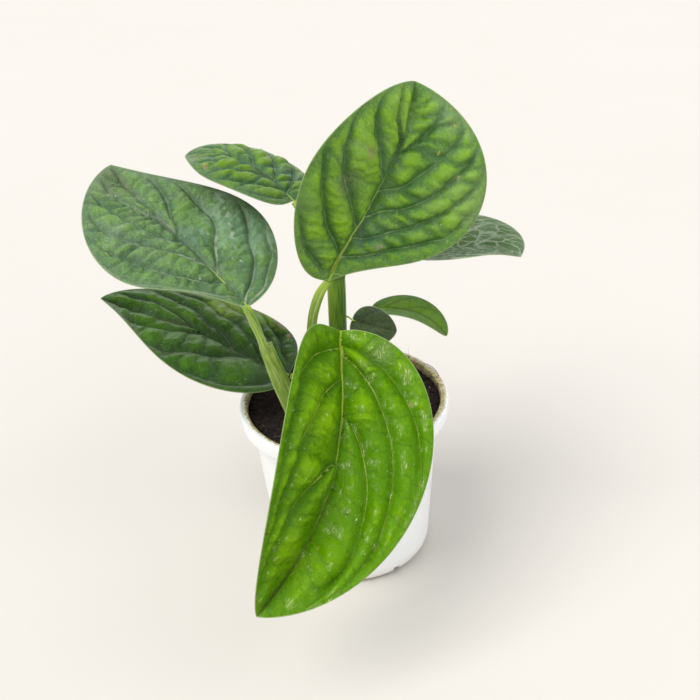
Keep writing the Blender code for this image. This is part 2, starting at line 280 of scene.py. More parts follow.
def joined(bodies):
    """Several bodies, each of points and faces, as one."""
    points, faces = [], []
    count = 0
    for more_points, more_faces in bodies:
        points.append(more_points)
        faces += [tuple(k + count for k in face) for face in more_faces]
        count += len(more_points)
    return np.vstack(points), faces


def unit(vectors):
    return vectors / np.linalg.norm(vectors, axis=-1, keepdims=True)


def ramp(values, low, high):
    t = np.clip((values - low) / (high - low), 0, 1)
    return t * t * (3 - 2 * t)


def hump(values, width):
    """1 at zero, and falling off to both sides."""
    return np.exp(-((values / width) ** 2))


def distances(line):
    """How far along the line each of its points is."""
    steps = np.linalg.norm(np.diff(line, axis=0), axis=1)
    return np.concatenate([[0], np.cumsum(steps)])


def smooth_curve(points, per_span):
    """A curve through the points, which leaves each one along the line between its neighbours."""
    points = np.array(points, float)
    padded = np.vstack([2 * points[0] - points[1], points, 2 * points[-1] - points[-2]])
    t = np.linspace(0, 1, per_span, endpoint=False)[:, None]
    spans = []
    for a, b, c, d in zip(padded, padded[1:], padded[2:], padded[3:]):
        square = (2 * a - 5 * b + 4 * c - d) * t**2
        cube = (3 * b - a - 3 * c + d) * t**3
        spans.append((2 * b + (c - a) * t + square + cube) / 2)
    return np.vstack(spans + [points[-1:]])


def bezier(handles, t):
    a, b, c, d = (np.array(h, float) for h in handles)
    t = t[:, None]
    return (1 - t) ** 3 * a + 3 * t * (1 - t) ** 2 * b + 3 * t**2 * (1 - t) * c + t**3 * d


# ---------------------------------------------------------------- the shape of a blade

BASE_START, TIP_END = 0.004, 0.9995  # the first and the last row, as shares of the length
LOBE_PLACE = 0.10  # where along the outline the lobe reaches back furthest
ROW_LAG = 0.56  # how far behind its outer end a row of points leaves the midrib, as a share of u (1 - u)
ROW_SWEEP = 0.4  # how much of that way the row makes up late, near the margin
BLADE_THICKNESS = 0.55
KEEL_DEPTH, RIB_DEPTH = 1.1, 0.45  # how far the midrib and the side veins stand out below
MEAN_SWELL = 0.72  # the swell that lies on the smooth blade
CALM_EDGE = 7.0  # the relief dies out over this distance from the margin
STRIP_START, STRIP_LENGTH = -30, 160  # the creases across a strip are dealt out over this stretch
VEIN_WAVE, CREASE_WAVE, LUMP_WAVE, SLOW_WAVE = 24, 9, 4.5, 22  # lengths of the ripples


class Half(NamedTuple):
    """One side of a blade: widest width, how round it is at the base and the tip, the lobe behind the
    base as a share of the length, the fold at the midrib, the curl towards the margin, its side veins,
    each with its start as a share of the length, its end along the margin and its first angle, and how
    deep the creases between the veins are, against the rest of the blade."""

    width: float
    base_power: float
    tip_power: float
    lobe: float
    fold: float
    curl: float
    veins: tuple
    cross: float = 1.0


class Leaf(NamedTuple):
    """A blade's place and shape. up is the way its upper face looks, arch and sway bend the midrib up
    and sideways at one third and two thirds of its length, and twist turns the tip against the base."""

    base: tuple
    tip: tuple
    up: tuple
    arch: tuple
    sway: tuple
    twist: float
    right: Half
    left: Half
    rows: int
    columns: int


class Skin(NamedTuple):
    """How a blade's surface looks. Its colours are those of the raised cells, the creases and the veins; the
    darker creases are partly painted shade.
    """

    cell: float  # length of a raised cell
    slant: float  # how far the creases across a strip lean towards the tip
    height: float  # how far a cell rises over its creases
    crease: float  # how wide the creases are
    cross: float  # how deep the creases across a strip are, against the side veins
    waver: float  # how far the side veins stray
    raised: tuple
    sunk: tuple
    vein: tuple
    wax_and_sheen: float  # how much grey wax and painted grey sheen there is
    midrib_reach: float  # how far the midrib's light line reaches, as a share of the length
    lump: float = 0.03  # height of the small lumps, against the cells
    vein_share: float = 0.5
    thread: float = 0.24  # half the width of a side vein's light line
    groove: float = 0.3  # how dark the painted shade in the creases of the side veins is
    fold: float = 0.3  # how dark the painted shade in the thin folds across the strips is
    net: float = 0.04  # how much the net of small veins shows
    stretch: float = 1.0  # the net's meshes are this many times as wide as they are long
    grain: float = 0.3  # how strong the finest network and its flecks are
    pebble: float = 0.2  # how much the small cells inside the large ones show
    mottle: float = 0.2
    rough: float = 0.36
    shine: float = 0.3
    # how strong the pale scuff strokes are, which also stand in for painted glints
    scuff_and_glint: float = 0.2
    speck: float = 0.3
    glint: float = 0.0  # how pale the painted glints are: streaks of window light on the flanks that face the window
    sky_sheen: float = 0.0  # how much painted grey sky sheen lies on what faces up
    scars: tuple = ()  # each is x, y and a radius
    tints_and_painted_light: tuple = ()  # each is x, y, a radius, a colour and its share; some are the blade's own colour, some painted light and painted shade


class Midrib:
    """The midrib's points and its frame: along it, up from the blade, and to the right."""

    def __init__(self, leaf):
        base, tip = np.array(leaf.base, float), np.array(leaf.tip, float)
        chord = tip - base
        up = unit(np.array(leaf.up) - chord * np.dot(leaf.up, chord) / np.dot(chord, chord))
        right = np.cross(unit(chord), up)
        handles = [base]
        for share, arch, sway in zip((1 / 3, 2 / 3), leaf.arch, leaf.sway):
            handles.append(base + chord * share + up * arch + right * sway)
        handles.append(tip)
        t = np.linspace(0, 1, 121)
        self.points = bezier(handles, t)
        self.along = unit(np.gradient(self.points, axis=0))
        self.distance = distances(self.points)
        self.length = self.distance[-1]
        up = unit(up - self.along * (self.along @ up)[:, None])
        side = np.cross(self.along, up)
        turn = (np.radians(leaf.twist) * (t - 0.5))[:, None]
        self.up = up * np.cos(turn) + side * np.sin(turn)
        self.right = np.cross(self.along, self.up)

    def at(self, y):
        """Point, up and right at the distance y. Past the ends the midrib runs on straight."""
        inside = np.clip(y, 0, self.length)
        columns = (self.points, self.along, self.up, self.right)
        found = [np.stack([np.interp(inside, self.distance, c[:, k]) for k in range(3)], -1) for c in columns]
        return found[0] + found[1] * (y - inside)[..., None], found[2], found[3]


def margin(half, length, u):
    """Points of the outline of one side at u, as x and y."""
    peak = half.base_power / (half.base_power + half.tip_power)
    full = peak**half.base_power * (1 - peak) ** half.tip_power
    across = half.width * u**half.base_power * (1 - u) ** half.tip_power / full
    lobe = half.lobe * (u / LOBE_PLACE) * np.exp(1 - u / LOBE_PLACE)
    return np.stack([across, length * (u - lobe)], -1)


def side_vein(half, length, vein):
    """A side vein on the flat blade: it leaves the midrib at its angle and bends along the margin."""
    start, end, angle = vein
    first = np.array([0.0, start * length])
    before, last, after = margin(half, length, np.array([end - 0.01, end, min(end + 0.01, 1.0)]))
    heading = unit(after - before)
    reach = np.linalg.norm(last - first)
    leave = np.array([math.sin(math.radians(angle)), math.cos(math.radians(angle))])
    handles = (first, first + leave * reach * 0.38, last - heading * reach * 0.33, last)
    return bezier(handles, np.linspace(0, 1, 41))


def beside(x, y, line):
    """Distance from each point to the line, positive on the side of the tip, and the way along the line."""
    best = np.full(x.shape, 1e9)
    found = np.zeros(x.shape)
    place = np.zeros(x.shape)
    travelled = 0.0
    for a, b in zip(line, line[1:]):
        way = b - a
        length = math.hypot(*way) + 1e-9
        t = np.clip(((x - a[0]) * way[0] + (y - a[1]) * way[1]) / length**2, 0, 1)
        dx, dy = x - a[0] - t * way[0], y - a[1] - t * way[1]
        distance = np.hypot(dx, dy)
        nearer = distance < best
        best = np.where(nearer, distance, best)
        found = np.where(nearer, distance * np.sign(way[0] * dy - way[1] * dx), found)
        place = np.where(nearer, travelled + t * length, place)
        travelled += length
    return found, place


def ripple(x, y, length, rng):
    """Smooth noise around zero: eight waves that cross at random."""
    total = np.zeros(x.shape)
    for _ in range(8):
        way = rng.uniform(0, TURN)
        pace = TURN / (length * rng.uniform(0.7, 1.5))
        total += np.sin((x * math.cos(way) + y * math.sin(way)) * pace + rng.uniform(0, TURN))
    return total / 2.8


def cross_creases(x, y, lower, upper, skin, rng):
    """In the strip between two lines: the depth of the creases across it, the height of its cells, and the
    distance to the nearest crease."""
    off, place = beside(x, y, (lower + upper) / 2)
    place = place + skin.slant * off + 0.09 * skin.cell * ripple(x, y, CREASE_WAVE, rng)
    count = int(STRIP_LENGTH / skin.cell)
    walls = STRIP_START + np.cumsum(rng.uniform(0.65, 1.35, count)) * skin.cell
    depths = rng.uniform(0.45, 1.15, count)
    lifts = rng.uniform(0.78, 1.12, count)
    k = np.clip(np.searchsorted(walls, place), 1, count - 1)
    before, after = place - walls[k - 1], walls[k] - place
    width = 0.8 * skin.crease
    crease = depths[k - 1] * hump(before, width) + depths[k] * hump(after, width)
    blend = np.where(before / (before + after) < 0.5, lifts[k - 1], lifts[k])
    nearest = np.minimum(before, after)
    return crease, blend + ((lifts[k - 1] + lifts[k]) / 2 - blend) * np.exp(-nearest / 1.5), nearest


def vein_fields(half, length, skin, x, y, to_edge, rng):
    """Where points lie among the veins: the strip, the distances to the veins below and above it, the
    crease across the strip, the height of the cell, and the distance to the nearest crease."""
    loose = ramp(x, 0, 5) * skin.waver
    near_x = x + loose * ripple(x, y, VEIN_WAVE, rng)
    near_y = y + loose * ripple(x, y, VEIN_WAVE, rng)
    lines = [side_vein(half, length, vein) for vein in half.veins]
    signed = np.stack([beside(near_x, near_y, line)[0] for line in lines])
    strip = (signed > 0).sum(0)
    outer = np.concatenate([to_edge[None] + 3, signed])
    inner = np.concatenate([-signed, x[None]])
    below = np.abs(np.take_along_axis(outer, strip[None], 0)[0])
    above = np.abs(np.take_along_axis(inner, strip[None], 0)[0])
    t = np.linspace(0, 1, 41)
    shore = margin(half, length, t * half.veins[0][1])
    spine = np.stack([0 * t, length * (half.veins[-1][0] + t * (1 - half.veins[-1][0]))], -1)
    walls = [shore, *lines, spine]
    crossing, lift, gap = np.zeros(x.shape), np.ones(x.shape), np.full(x.shape, 9.0)
    for k in range(len(walls) - 1):
        inside = strip == k
        found = cross_creases(near_x[inside], near_y[inside], walls[k], walls[k + 1], skin, rng)
        crossing[inside], lift[inside], gap[inside] = found
    return strip, below, above, crossing, lift, gap


def half_fields(half, side, midrib, skin, u, v, rng):
    """Everything that is known at the points of one half: its place, and where it lies among the veins."""
    length = midrib.length
    edge = margin(half, length, u)
    x = edge[..., 0] * v
    midrib_y = length * (u - ROW_LAG * u * (1 - u))
    y = midrib_y + (edge[..., 1] - midrib_y) * ((1 - ROW_SWEEP) * v + ROW_SWEEP * v**2)
    to_edge = np.abs(beside(x, y, margin(half, length, np.linspace(0, 1, 161)))[0])
    strip, below, above, crossing, lift, gap = vein_fields(half, length, skin, x, y, to_edge, rng)
    breadth = below + above + 1e-6
    rib = np.minimum(np.minimum(np.where(strip == 0, 1e3, below), above), 0.7 * x)
    swell = 1 - np.exp(-((rib / (skin.crease * np.clip(breadth / 12, 0.3, 1))) ** 1.3))
    swell *= (1 - skin.cross * half.cross * crossing) * lift
    swell += skin.lump * ripple(x, y, LUMP_WAVE, rng) + 0.14 * ripple(x, y, SLOW_WAVE, rng)
    calm = ramp(to_edge, 0.0, CALM_EDGE)
    relief = skin.height * (swell - MEAN_SWELL) * calm * np.clip(breadth / 10, 0.2, 1.1)
    centre, up, right = midrib.at(y)
    bend = math.radians(half.curl) / half.width
    start = math.radians(half.fold)
    angle = start + bend * x
    outward = (np.sin(angle) - math.sin(start)) / bend
    upward = (math.cos(start) - np.cos(angle)) / bend
    lean = angle * ramp(x, 0, 7)
    return {
        "point": centre + right * (side * outward)[..., None] + up * upward[..., None],
        "normal": up * np.cos(lean)[..., None] - right * (side * np.sin(lean))[..., None],
        "x": side * x, "y": y, "edge": to_edge, "relief": relief, "strip": strip + below / breadth,
        "breadth": breadth, "swell": 0.5 + (swell - 0.5) * calm, "rib": rib, "gap": gap,
    }


def add_blade(name, leaf, skin, slot, seed):
    midrib = Midrib(leaf)
    rng = np.random.default_rng(seed)
    even = np.linspace(0, 1, leaf.rows + 1)
    share = 0.5 * even + 0.25 * (1 - np.cos(math.pi * even))
    u = BASE_START + (TIP_END - BASE_START) * share
    u, v = np.meshgrid(u, np.linspace(0, 1, leaf.columns + 1), indexing="ij")
    left = half_fields(leaf.left, -1, midrib, skin, u, v, rng)
    right = half_fields(leaf.right, 1, midrib, skin, u, v, rng)
    both = {key: np.concatenate([left[key][:, :0:-1], right[key]], axis=1) for key in left}
    both["normal"][:, leaf.columns] = left["normal"][:, 0] + right["normal"][:, 0]
    x, y, edge = both["x"], both["y"], both["edge"]
    both["scar"] = np.zeros(x.shape)
    for scar_x, scar_y, radius in skin.scars:
        scar = ramp(-np.hypot(x - scar_x, y - scar_y), -radius, -0.3 * radius)
        both["scar"] = np.maximum(both["scar"], scar)
    painted = ("edge", "strip", "breadth", "swell", "gap", "scar")
    fields = {key: np.tile(both[key].ravel(), 2) for key in painted}
    flat = np.stack([x, y, 0 * x], -1).reshape(-1, 3)
    fields["flat"] = np.concatenate([flat, flat + [0, 0, 1]])
    points, faces = blade_shell(both, midrib.length)
    material = leaf_material(name, skin, midrib.length)
    add_piece(name + "_blade", points, faces, material, slot, name, fields, blade_map(flat))


def blade_shell(both, length):
    """The upper and lower faces, and the band around them. The keel and the ribs stand out below."""
    edge = both["edge"]
    normal = unit(both["normal"])
    surface = both["point"] + normal * both["relief"][..., None]
    thick = BLADE_THICKNESS * (0.45 + 0.55 * ramp(edge, 0, 2.5))
    keel = KEEL_DEPTH * hump(both["x"], 0.9) * (1 - 0.85 * both["y"] / length)
    keel = np.clip(keel, 0, None) * ramp(edge, 0, 3)
    ribs = RIB_DEPTH * hump(both["rib"], 0.6) * ramp(edge, 1, 8)
    upper = surface + normal * (thick / 2)[..., None]
    lower = surface - normal * (thick / 2 + np.maximum(keel, ribs))[..., None]
    count = thick.size
    faces = grid_faces(*thick.shape)
    faces += [[k + count for k in face[::-1]] for face in faces]
    rim = grid_border(*thick.shape)
    faces += band(rim + count, rim)
    return np.concatenate([upper.reshape(-1, 3), lower.reshape(-1, 3)]), faces


def blade_map(flat):
    """The flat blade on the left half of the map for its upper face, and on the right half for its lower."""
    low, high = flat.min(0)[:2], flat.max(0)[:2]
    placed = (flat[:, :2] - low) * ((0.48, 0.98) / (high - low)) + 0.01
    return np.concatenate([placed, placed + [0.5, 0]])


# ---------------------------------------------------------------- the paint of a blade

OLIVE = (0.15, 0.14, 0.05)
BLUE_GREEN = (0.045, 0.14, 0.085)
LIME = (0.30, 0.42, 0.04)
DUST = (0.46, 0.53, 0.42)
AMBER = (0.45, 0.33, 0.06)
# The ways that the painted glints and the painted grey sky sheen face.
WINDOW_WAY = (-0.30, -0.81, 0.50)
SKY_WAY = (0.20, 0.20, 0.96)


class LeafPaint(Paint):
    """The paint of one blade. Its coats share the place on the flat blade and the ways to the veins."""

    def __init__(self, name, skin):
        super().__init__(name)
        self.skin = skin
        self.flat = self.attribute("flat", "Vector")
        self.x, self.y, self.under = self.split(self.flat)
        self.edge = self.attribute("edge")
        self.pushed = self.warp(self.flat, 0.2, 2.4)
        self.blotch = self.noise(self.flat, 0.09, 3.0, 0.6)
        self.patch = self.noise(self.pushed, 0.34, 3.0, 0.6)
        self.fine = self.noise(self.flat, 0.9, 4.0, 0.65)
        strip = self.attribute("strip")
        nearest = self.math("ABSOLUTE", self.math("SUBTRACT", strip, self.math("ROUND", strip)))
        waver = self.clouds(self.flat, 0.35, 0.3, 0.7, -0.10, 0.10, 2.0)
        self.side = self.plus(self.times(nearest, self.attribute("breadth")), waver)
        self.middle = self.math("ABSOLUTE", self.x)
        self.crease = self.math("MINIMUM", self.side, self.middle)
        self.pebble = self.span(self.wall(self.warp(self.flat, 0.3, 2.0), 2.2 / skin.cell), 0.0, 0.4)

    def lay_cells(self):
        """Light raised cells with dark creases that are partly painted shade, flecks of olive and blue green,
        and wider tints, some of them painted light and painted shade.
        """
        skin = self.skin
        uneven = 0.05 + 0.35 * skin.mottle
        flecks = 0.06 + 0.30 * skin.grain
        self.rise = self.plus(
            self.attribute("swell"),
            self.span(self.blotch, 0.3, 0.7, -uneven, uneven),
            self.span(self.patch, 0.32, 0.68, -uneven, uneven),
            self.span(self.fine, 0.3, 0.7, -flecks, flecks),
            self.span(self.pebble, 0.0, 1.0, -0.7 * skin.pebble, 0.3 * skin.pebble),
        )
        # Raised cells light and creases dark: partly the blade's own colour, partly painted shade in the
        # creases.
        self.colour = self.mix(self.span(self.rise, 0.12, 1.0), skin.sunk, skin.raised)
        self.coat(OLIVE, self.clouds(self.pushed, 0.75, 0.5, 0.66, 0.0, skin.mottle, 4.0, 0.7))
        self.coat(BLUE_GREEN, self.clouds(self.pushed, 0.22, 0.5, 0.66, 0.0, skin.mottle, 5.0, 0.75))
        # Some tints are the blade's own colour; others are painted light that brightens parts in shade, and
        # painted shade that darkens parts.
        for x, y, radius, tint, share in skin.tints_and_painted_light:
            away = self.vector("DISTANCE", self.pushed, (x, y, 0.0))
            away = self.plus(away, self.span(self.patch, 0.3, 0.7, -0.3 * radius, 0.3 * radius))
            self.coat(tint, self.span(away, 0.25 * radius, radius, share, 0.0))

    def lay_veins(self, length):
        """The net of small veins, painted shade in the dark folds and grooves, and the light lines of the
        veins.
        """
        skin = self.skin
        meshed = self.scale(self.warp(self.flat, 0.25, 1.6), (1.0, skin.stretch, 1.0))
        net = self.fade(self.wall(meshed, 2.7 / skin.cell), 0.01, 0.09)
        self.net = self.times(net, self.span(self.patch, 0.3, 0.6, 0.5, 1.0))
        self.coat(skin.vein, self.net, skin.net)
        threads = self.fade(self.wall(self.warp(self.flat, 0.6, 0.9), 0.95), 0.0, 0.16)
        self.threads = self.times(threads, self.span(self.patch, 0.35, 0.65, 0.3, 1.0))
        self.coat(skin.sunk, self.threads, 0.6 * skin.grain)
        # Painted shade: the thin folds and the creases of the side veins are darkened.
        dark = tuple(0.5 * c for c in skin.sunk)
        gap = self.plus(self.attribute("gap"), self.span(self.fine, 0.3, 0.7, -0.4, 0.4))
        self.coat(dark, self.fade(gap, 0.1, 1.0), self.span(self.patch, 0.35, 0.65, 0.2, 1.0), skin.fold)
        self.coat(dark, self.fade(self.crease, 0.1, 0.9), skin.groove)
        line = self.fade(self.side, 0.4 * skin.thread, 1.25 * skin.thread)
        outward = self.span(self.middle, 3.0, 32.0, 1.0, 0.35)
        towards_tip = self.span(self.y, 0.45 * length, 0.85 * length, 1.0, 0.3)
        broken = self.clouds(self.flat, 0.14, 0.35, 0.6, 0.4, 1.0, 2.0)
        self.coat(skin.vein, line, outward, towards_tip, broken, skin.vein_share)
        reach = skin.midrib_reach * length
        across = self.math("DIVIDE", self.middle, self.span(self.y, 0.0, reach, 0.7, 0.12))
        self.coat(LIME, self.fade(across, 0.55, 1.05), self.fade(self.y, 0.75 * reach, reach), 0.9)
        past = self.span(self.y, 0.8 * reach, 1.3 * reach, 0.0, 0.5)
        self.coat((0.05, 0.05, 0.02), self.fade(self.middle, 0.2, 0.7), past)

    def lay_wear(self):
        """Waxy bloom that is partly painted sheen, pale scuffs that partly stand in for painted glints,
        painted grey sky sheen on what faces up, painted glints of window light, specks, scars and the thin
        rim.
        """
        skin, flat = self.skin, self.flat
        # Grey bloom: partly the blade's wax, partly a painted grey sheen of reflected sky, strongest along
        # the margin.
        waxy_sheen = self.clouds(flat, 0.06, 0.42, 0.68, 0.0, skin.wax_and_sheen, 4.0, 0.7)
        at_edge = self.span(self.edge, 0.0, 6.0, 0.5, 0.0)
        uneven = self.span(self.blotch, 0.35, 0.65, 0.2, 1.0)
        self.wax_and_sheen = self.math("MAXIMUM", waxy_sheen, self.times(at_edge, uneven, min(1.0, 1.4 * skin.wax_and_sheen)))
        self.coat((0.17, 0.24, 0.16), self.wax_and_sheen)
        # Pale scuff strokes: partly real scuffs, partly painted glints.
        strokes = self.spots(self.warp(self.scale(flat, (1.0, 0.35, 1.0)), 0.5, 0.8), 0.36, 0.10, 0.24)
        crumbled = self.clouds(flat, 1.3, 0.42, 0.56, roughness=0.6)
        self.coat((0.50, 0.55, 0.27), strokes, crumbled, self.clouds(flat, 0.10, 0.48, 0.60), skin.scuff_and_glint)
        # Painted sky sheen: a grey reflection of the bright sky and wall, painted on the faces that look up.
        normal = self.node("NewGeometry", {}).outputs["Normal"]
        upward = self.span(self.vector("DOT_PRODUCT", normal, SKY_WAY), 0.89, 0.985)
        self.coat((0.24, 0.31, 0.20), upward, self.span(self.patch, 0.3, 0.62, 0.35, 1.0), skin.sky_sheen)
        # Painted glints: pale streaks of window light on the flanks that face the window.
        facing = self.span(self.vector("DOT_PRODUCT", normal, WINDOW_WAY), 0.88, 0.98)
        streaks = self.clouds(self.scale(flat, (1.0, 0.3, 1.0)), 1.5, 0.52, 0.64, 0.15, 1.0, 2.0)
        self.coat((0.50, 0.56, 0.27), facing, streaks, self.clouds(flat, 0.15, 0.48, 0.62), skin.glint)
        specks = self.spots(flat, 0.34, 0.06, 0.13)
        self.coat((0.54, 0.57, 0.38), specks, self.clouds(flat, 0.12, 0.5, 0.6), skin.speck)
        powdered = self.clouds(flat, 0.13, 0.48, 0.62, 0.0, 1.0, 4.0, 0.7)
        self.coat((0.36, 0.42, 0.24), self.spots(flat, 1.2, 0.12, 0.28), powdered, 0.45 * skin.speck)
        self.coat((0.26, 0.11, 0.05), self.attribute("scar"), self.span(self.fine, 0.25, 0.6, 0.55, 1.0))
        self.coat((0.38, 0.46, 0.20), self.fade(self.edge, 0.08, 0.5), 0.55)

    def lay_underside(self):
        """The underside is paler, with light veins."""
        pale = self.mix(self.span(self.rise, 0.1, 0.9), (0.19, 0.30, 0.10), (0.12, 0.23, 0.06))
        pale = self.mix(self.times(self.net, 0.3), pale, (0.26, 0.37, 0.15))
        pale = self.mix(self.span(self.crease, 0.3, 0.9, 0.85, 0.0), pale, (0.34, 0.45, 0.17))
        self.coat(pale, self.span(self.under, 0.4, 0.6))


def leaf_material(name, skin, length):
    paint = LeafPaint(name, skin)
    paint.lay_cells()
    paint.lay_veins(length)
    paint.lay_wear()
    paint.lay_underside()
    height = paint.plus(
        paint.times(paint.fine, 0.5), paint.times(paint.patch, 1.2), paint.times(paint.net, -0.6),
        paint.times(paint.threads, -0.3 - skin.grain), paint.times(paint.pebble, 4.0 * skin.pebble),
    )
    paint.bump(height, 0.5, 0.0005)
    above = paint.span(paint.blotch, 0.3, 0.7, skin.rough - 0.06, skin.rough + 0.08)
    above = paint.plus(above, paint.times(paint.wax_and_sheen, 0.15))
    return paint.finish(paint.math("MAXIMUM", above, paint.times(paint.under, 0.62)), skin.shine)


# ---------------------------------------------------------------- the leaves

BACK_RIGHT_VEINS = ((0.0, 0.40, 66), (0.08, 0.60, 54), (0.22, 0.77, 46), (0.42, 0.90, 42), (0.64, 0.97, 40))
SMALL_DARK_VEINS = ((0.0, 0.45, 65), (0.15, 0.72, 50), (0.42, 0.92, 45))
SMALL_RIGHT_VEINS = ((0.0, 0.42, 60), (0.15, 0.70, 44), (0.40, 0.91, 38))
LEAVES = {
    "leaf_top": Leaf(
        (-3.5, -7, 155.5), (41, 26.5, 235.5), (0.44, -0.89, 0.13), (2.5, 18.5), (2.5, 3.5), 1,
        Half(48, 0.94, 0.71, -0.05, 11, 1,
             ((0.0, 0.42, 72), (0.04, 0.58, 60), (0.12, 0.71, 56), (0.22, 0.80, 52), (0.33, 0.87, 50),
              (0.46, 0.93, 48), (0.66, 0.97, 45))),
        Half(45, 0.76, 0.91, 0.07, 21, -11,
             ((0.0, 0.45, 72), (0.11, 0.66, 56), (0.27, 0.78, 54), (0.52, 0.90, 58), (0.72, 0.97, 50)),
             0.35),
        200, 54,
    ),
    "leaf_upper_left": Leaf(
        (-39.3, -27, 154.8), (-104, 38.5, 202), (0.39, -0.25, 0.89), (7.5, 0), (-1.5, -5.5), 2,
        Half(42.5, 0.68, 0.96, 0.02, 4, 8,
             ((0.0, 0.40, 74), (0.02, 0.63, 56), (0.20, 0.86, 44), (0.48, 0.95, 40)), 0.5),
        Half(43.5, 0.69, 0.91, -0.09, 8, -20,
             ((0.0, 0.32, 80), (0.05, 0.52, 62), (0.14, 0.68, 56), (0.27, 0.80, 50), (0.42, 0.89, 48),
              (0.62, 0.96, 44))),
        190, 52,
    ),
    "leaf_lower_left": Leaf(
        (-26.5, 4, 99.5), (-117.5, 22.5, 139.5), (0.39, -0.09, 0.92), (7, -1.5), (-1.5, 11), 7,
        Half(38, 0.43, 0.81, 0.04, 9, -19,
             ((0.0, 0.40, 62), (0.03, 0.62, 46), (0.11, 0.78, 38), (0.30, 0.90, 34), (0.54, 0.96, 32))),
        Half(37.5, 0.53, 0.87, 0, 12, -26, ((0.0, 0.50, 70), (0.19, 0.76, 44), (0.48, 0.93, 40))),
        190, 48,
    ),
    "leaf_front": Leaf(
        (0.7, -18, 135.5), (-42, -106, 48), (0.37, -0.74, 0.56), (9.6, 11), (-16.5, -21.4), 2,
        Half(38.5, 0.55, 0.78, 0.057, 28, 3, ((0.06, 0.86, 84), (0.16, 0.95, 50), (0.45, 0.98, 48))),
        Half(40.7, 0.535, 0.857, 0.002, 24, -4, ((0.05, 0.62, 66), (0.08, 0.92, 42), (0.29, 0.98, 38))),
        230, 52,
    ),
    "leaf_back_left": Leaf(
        (-17.5, 20, 185), (-70.5, 54, 199.5), (0.22, -0.07, 0.97), (10, 10), (5, 9), -4,
        Half(29.5, 0.6, 0.74, 0.04, 8, -39,
             ((0.0, 0.36, 72), (0.08, 0.58, 58), (0.22, 0.76, 50), (0.42, 0.90, 46), (0.64, 0.97, 44))),
        Half(29, 0.65, 0.72, 0.07, 9, -25,
             ((0.0, 0.38, 74), (0.10, 0.60, 58), (0.25, 0.78, 50), (0.45, 0.91, 46), (0.66, 0.97, 44))),
        140, 40,
    ),
    "leaf_back_right": Leaf(
        (26.7, 32, 154.7), (91.5, 23, 148), (0.07, -0.23, 0.97), (-1.5, 4), (5.5, -10), -3.5,
        Half(21.5, 0.51, 0.67, 0.04, 24, -3, BACK_RIGHT_VEINS),
        Half(23, 0.55, 0.48, 0.04, 17, -12, BACK_RIGHT_VEINS),
        140, 34,
    ),
    "leaf_small_dark": Leaf(
        (6.5, -1, 131.5), (27.5, -4, 125.5), (0.0, -0.83, 0.56), (5.5, 5), (1, 1), 0,
        Half(10, 0.54, 0.77, 0, 12, -9, SMALL_DARK_VEINS),
        Half(9, 0.52, 0.76, 0, 14, -8, SMALL_DARK_VEINS),
        64, 24,
    ),
    "leaf_small_right": Leaf(
        (16.3, 16, 126.6), (52.5, 4, 116.5), (0.23, -0.13, 0.96), (7.5, 9), (-2, -3), 1.5,
        Half(11, 0.6, 0.68, 0.04, 16, -2, SMALL_RIGHT_VEINS),
        Half(11.5, 0.61, 0.66, 0.04, 13, -9, SMALL_RIGHT_VEINS),
        90, 26,
    ),
}
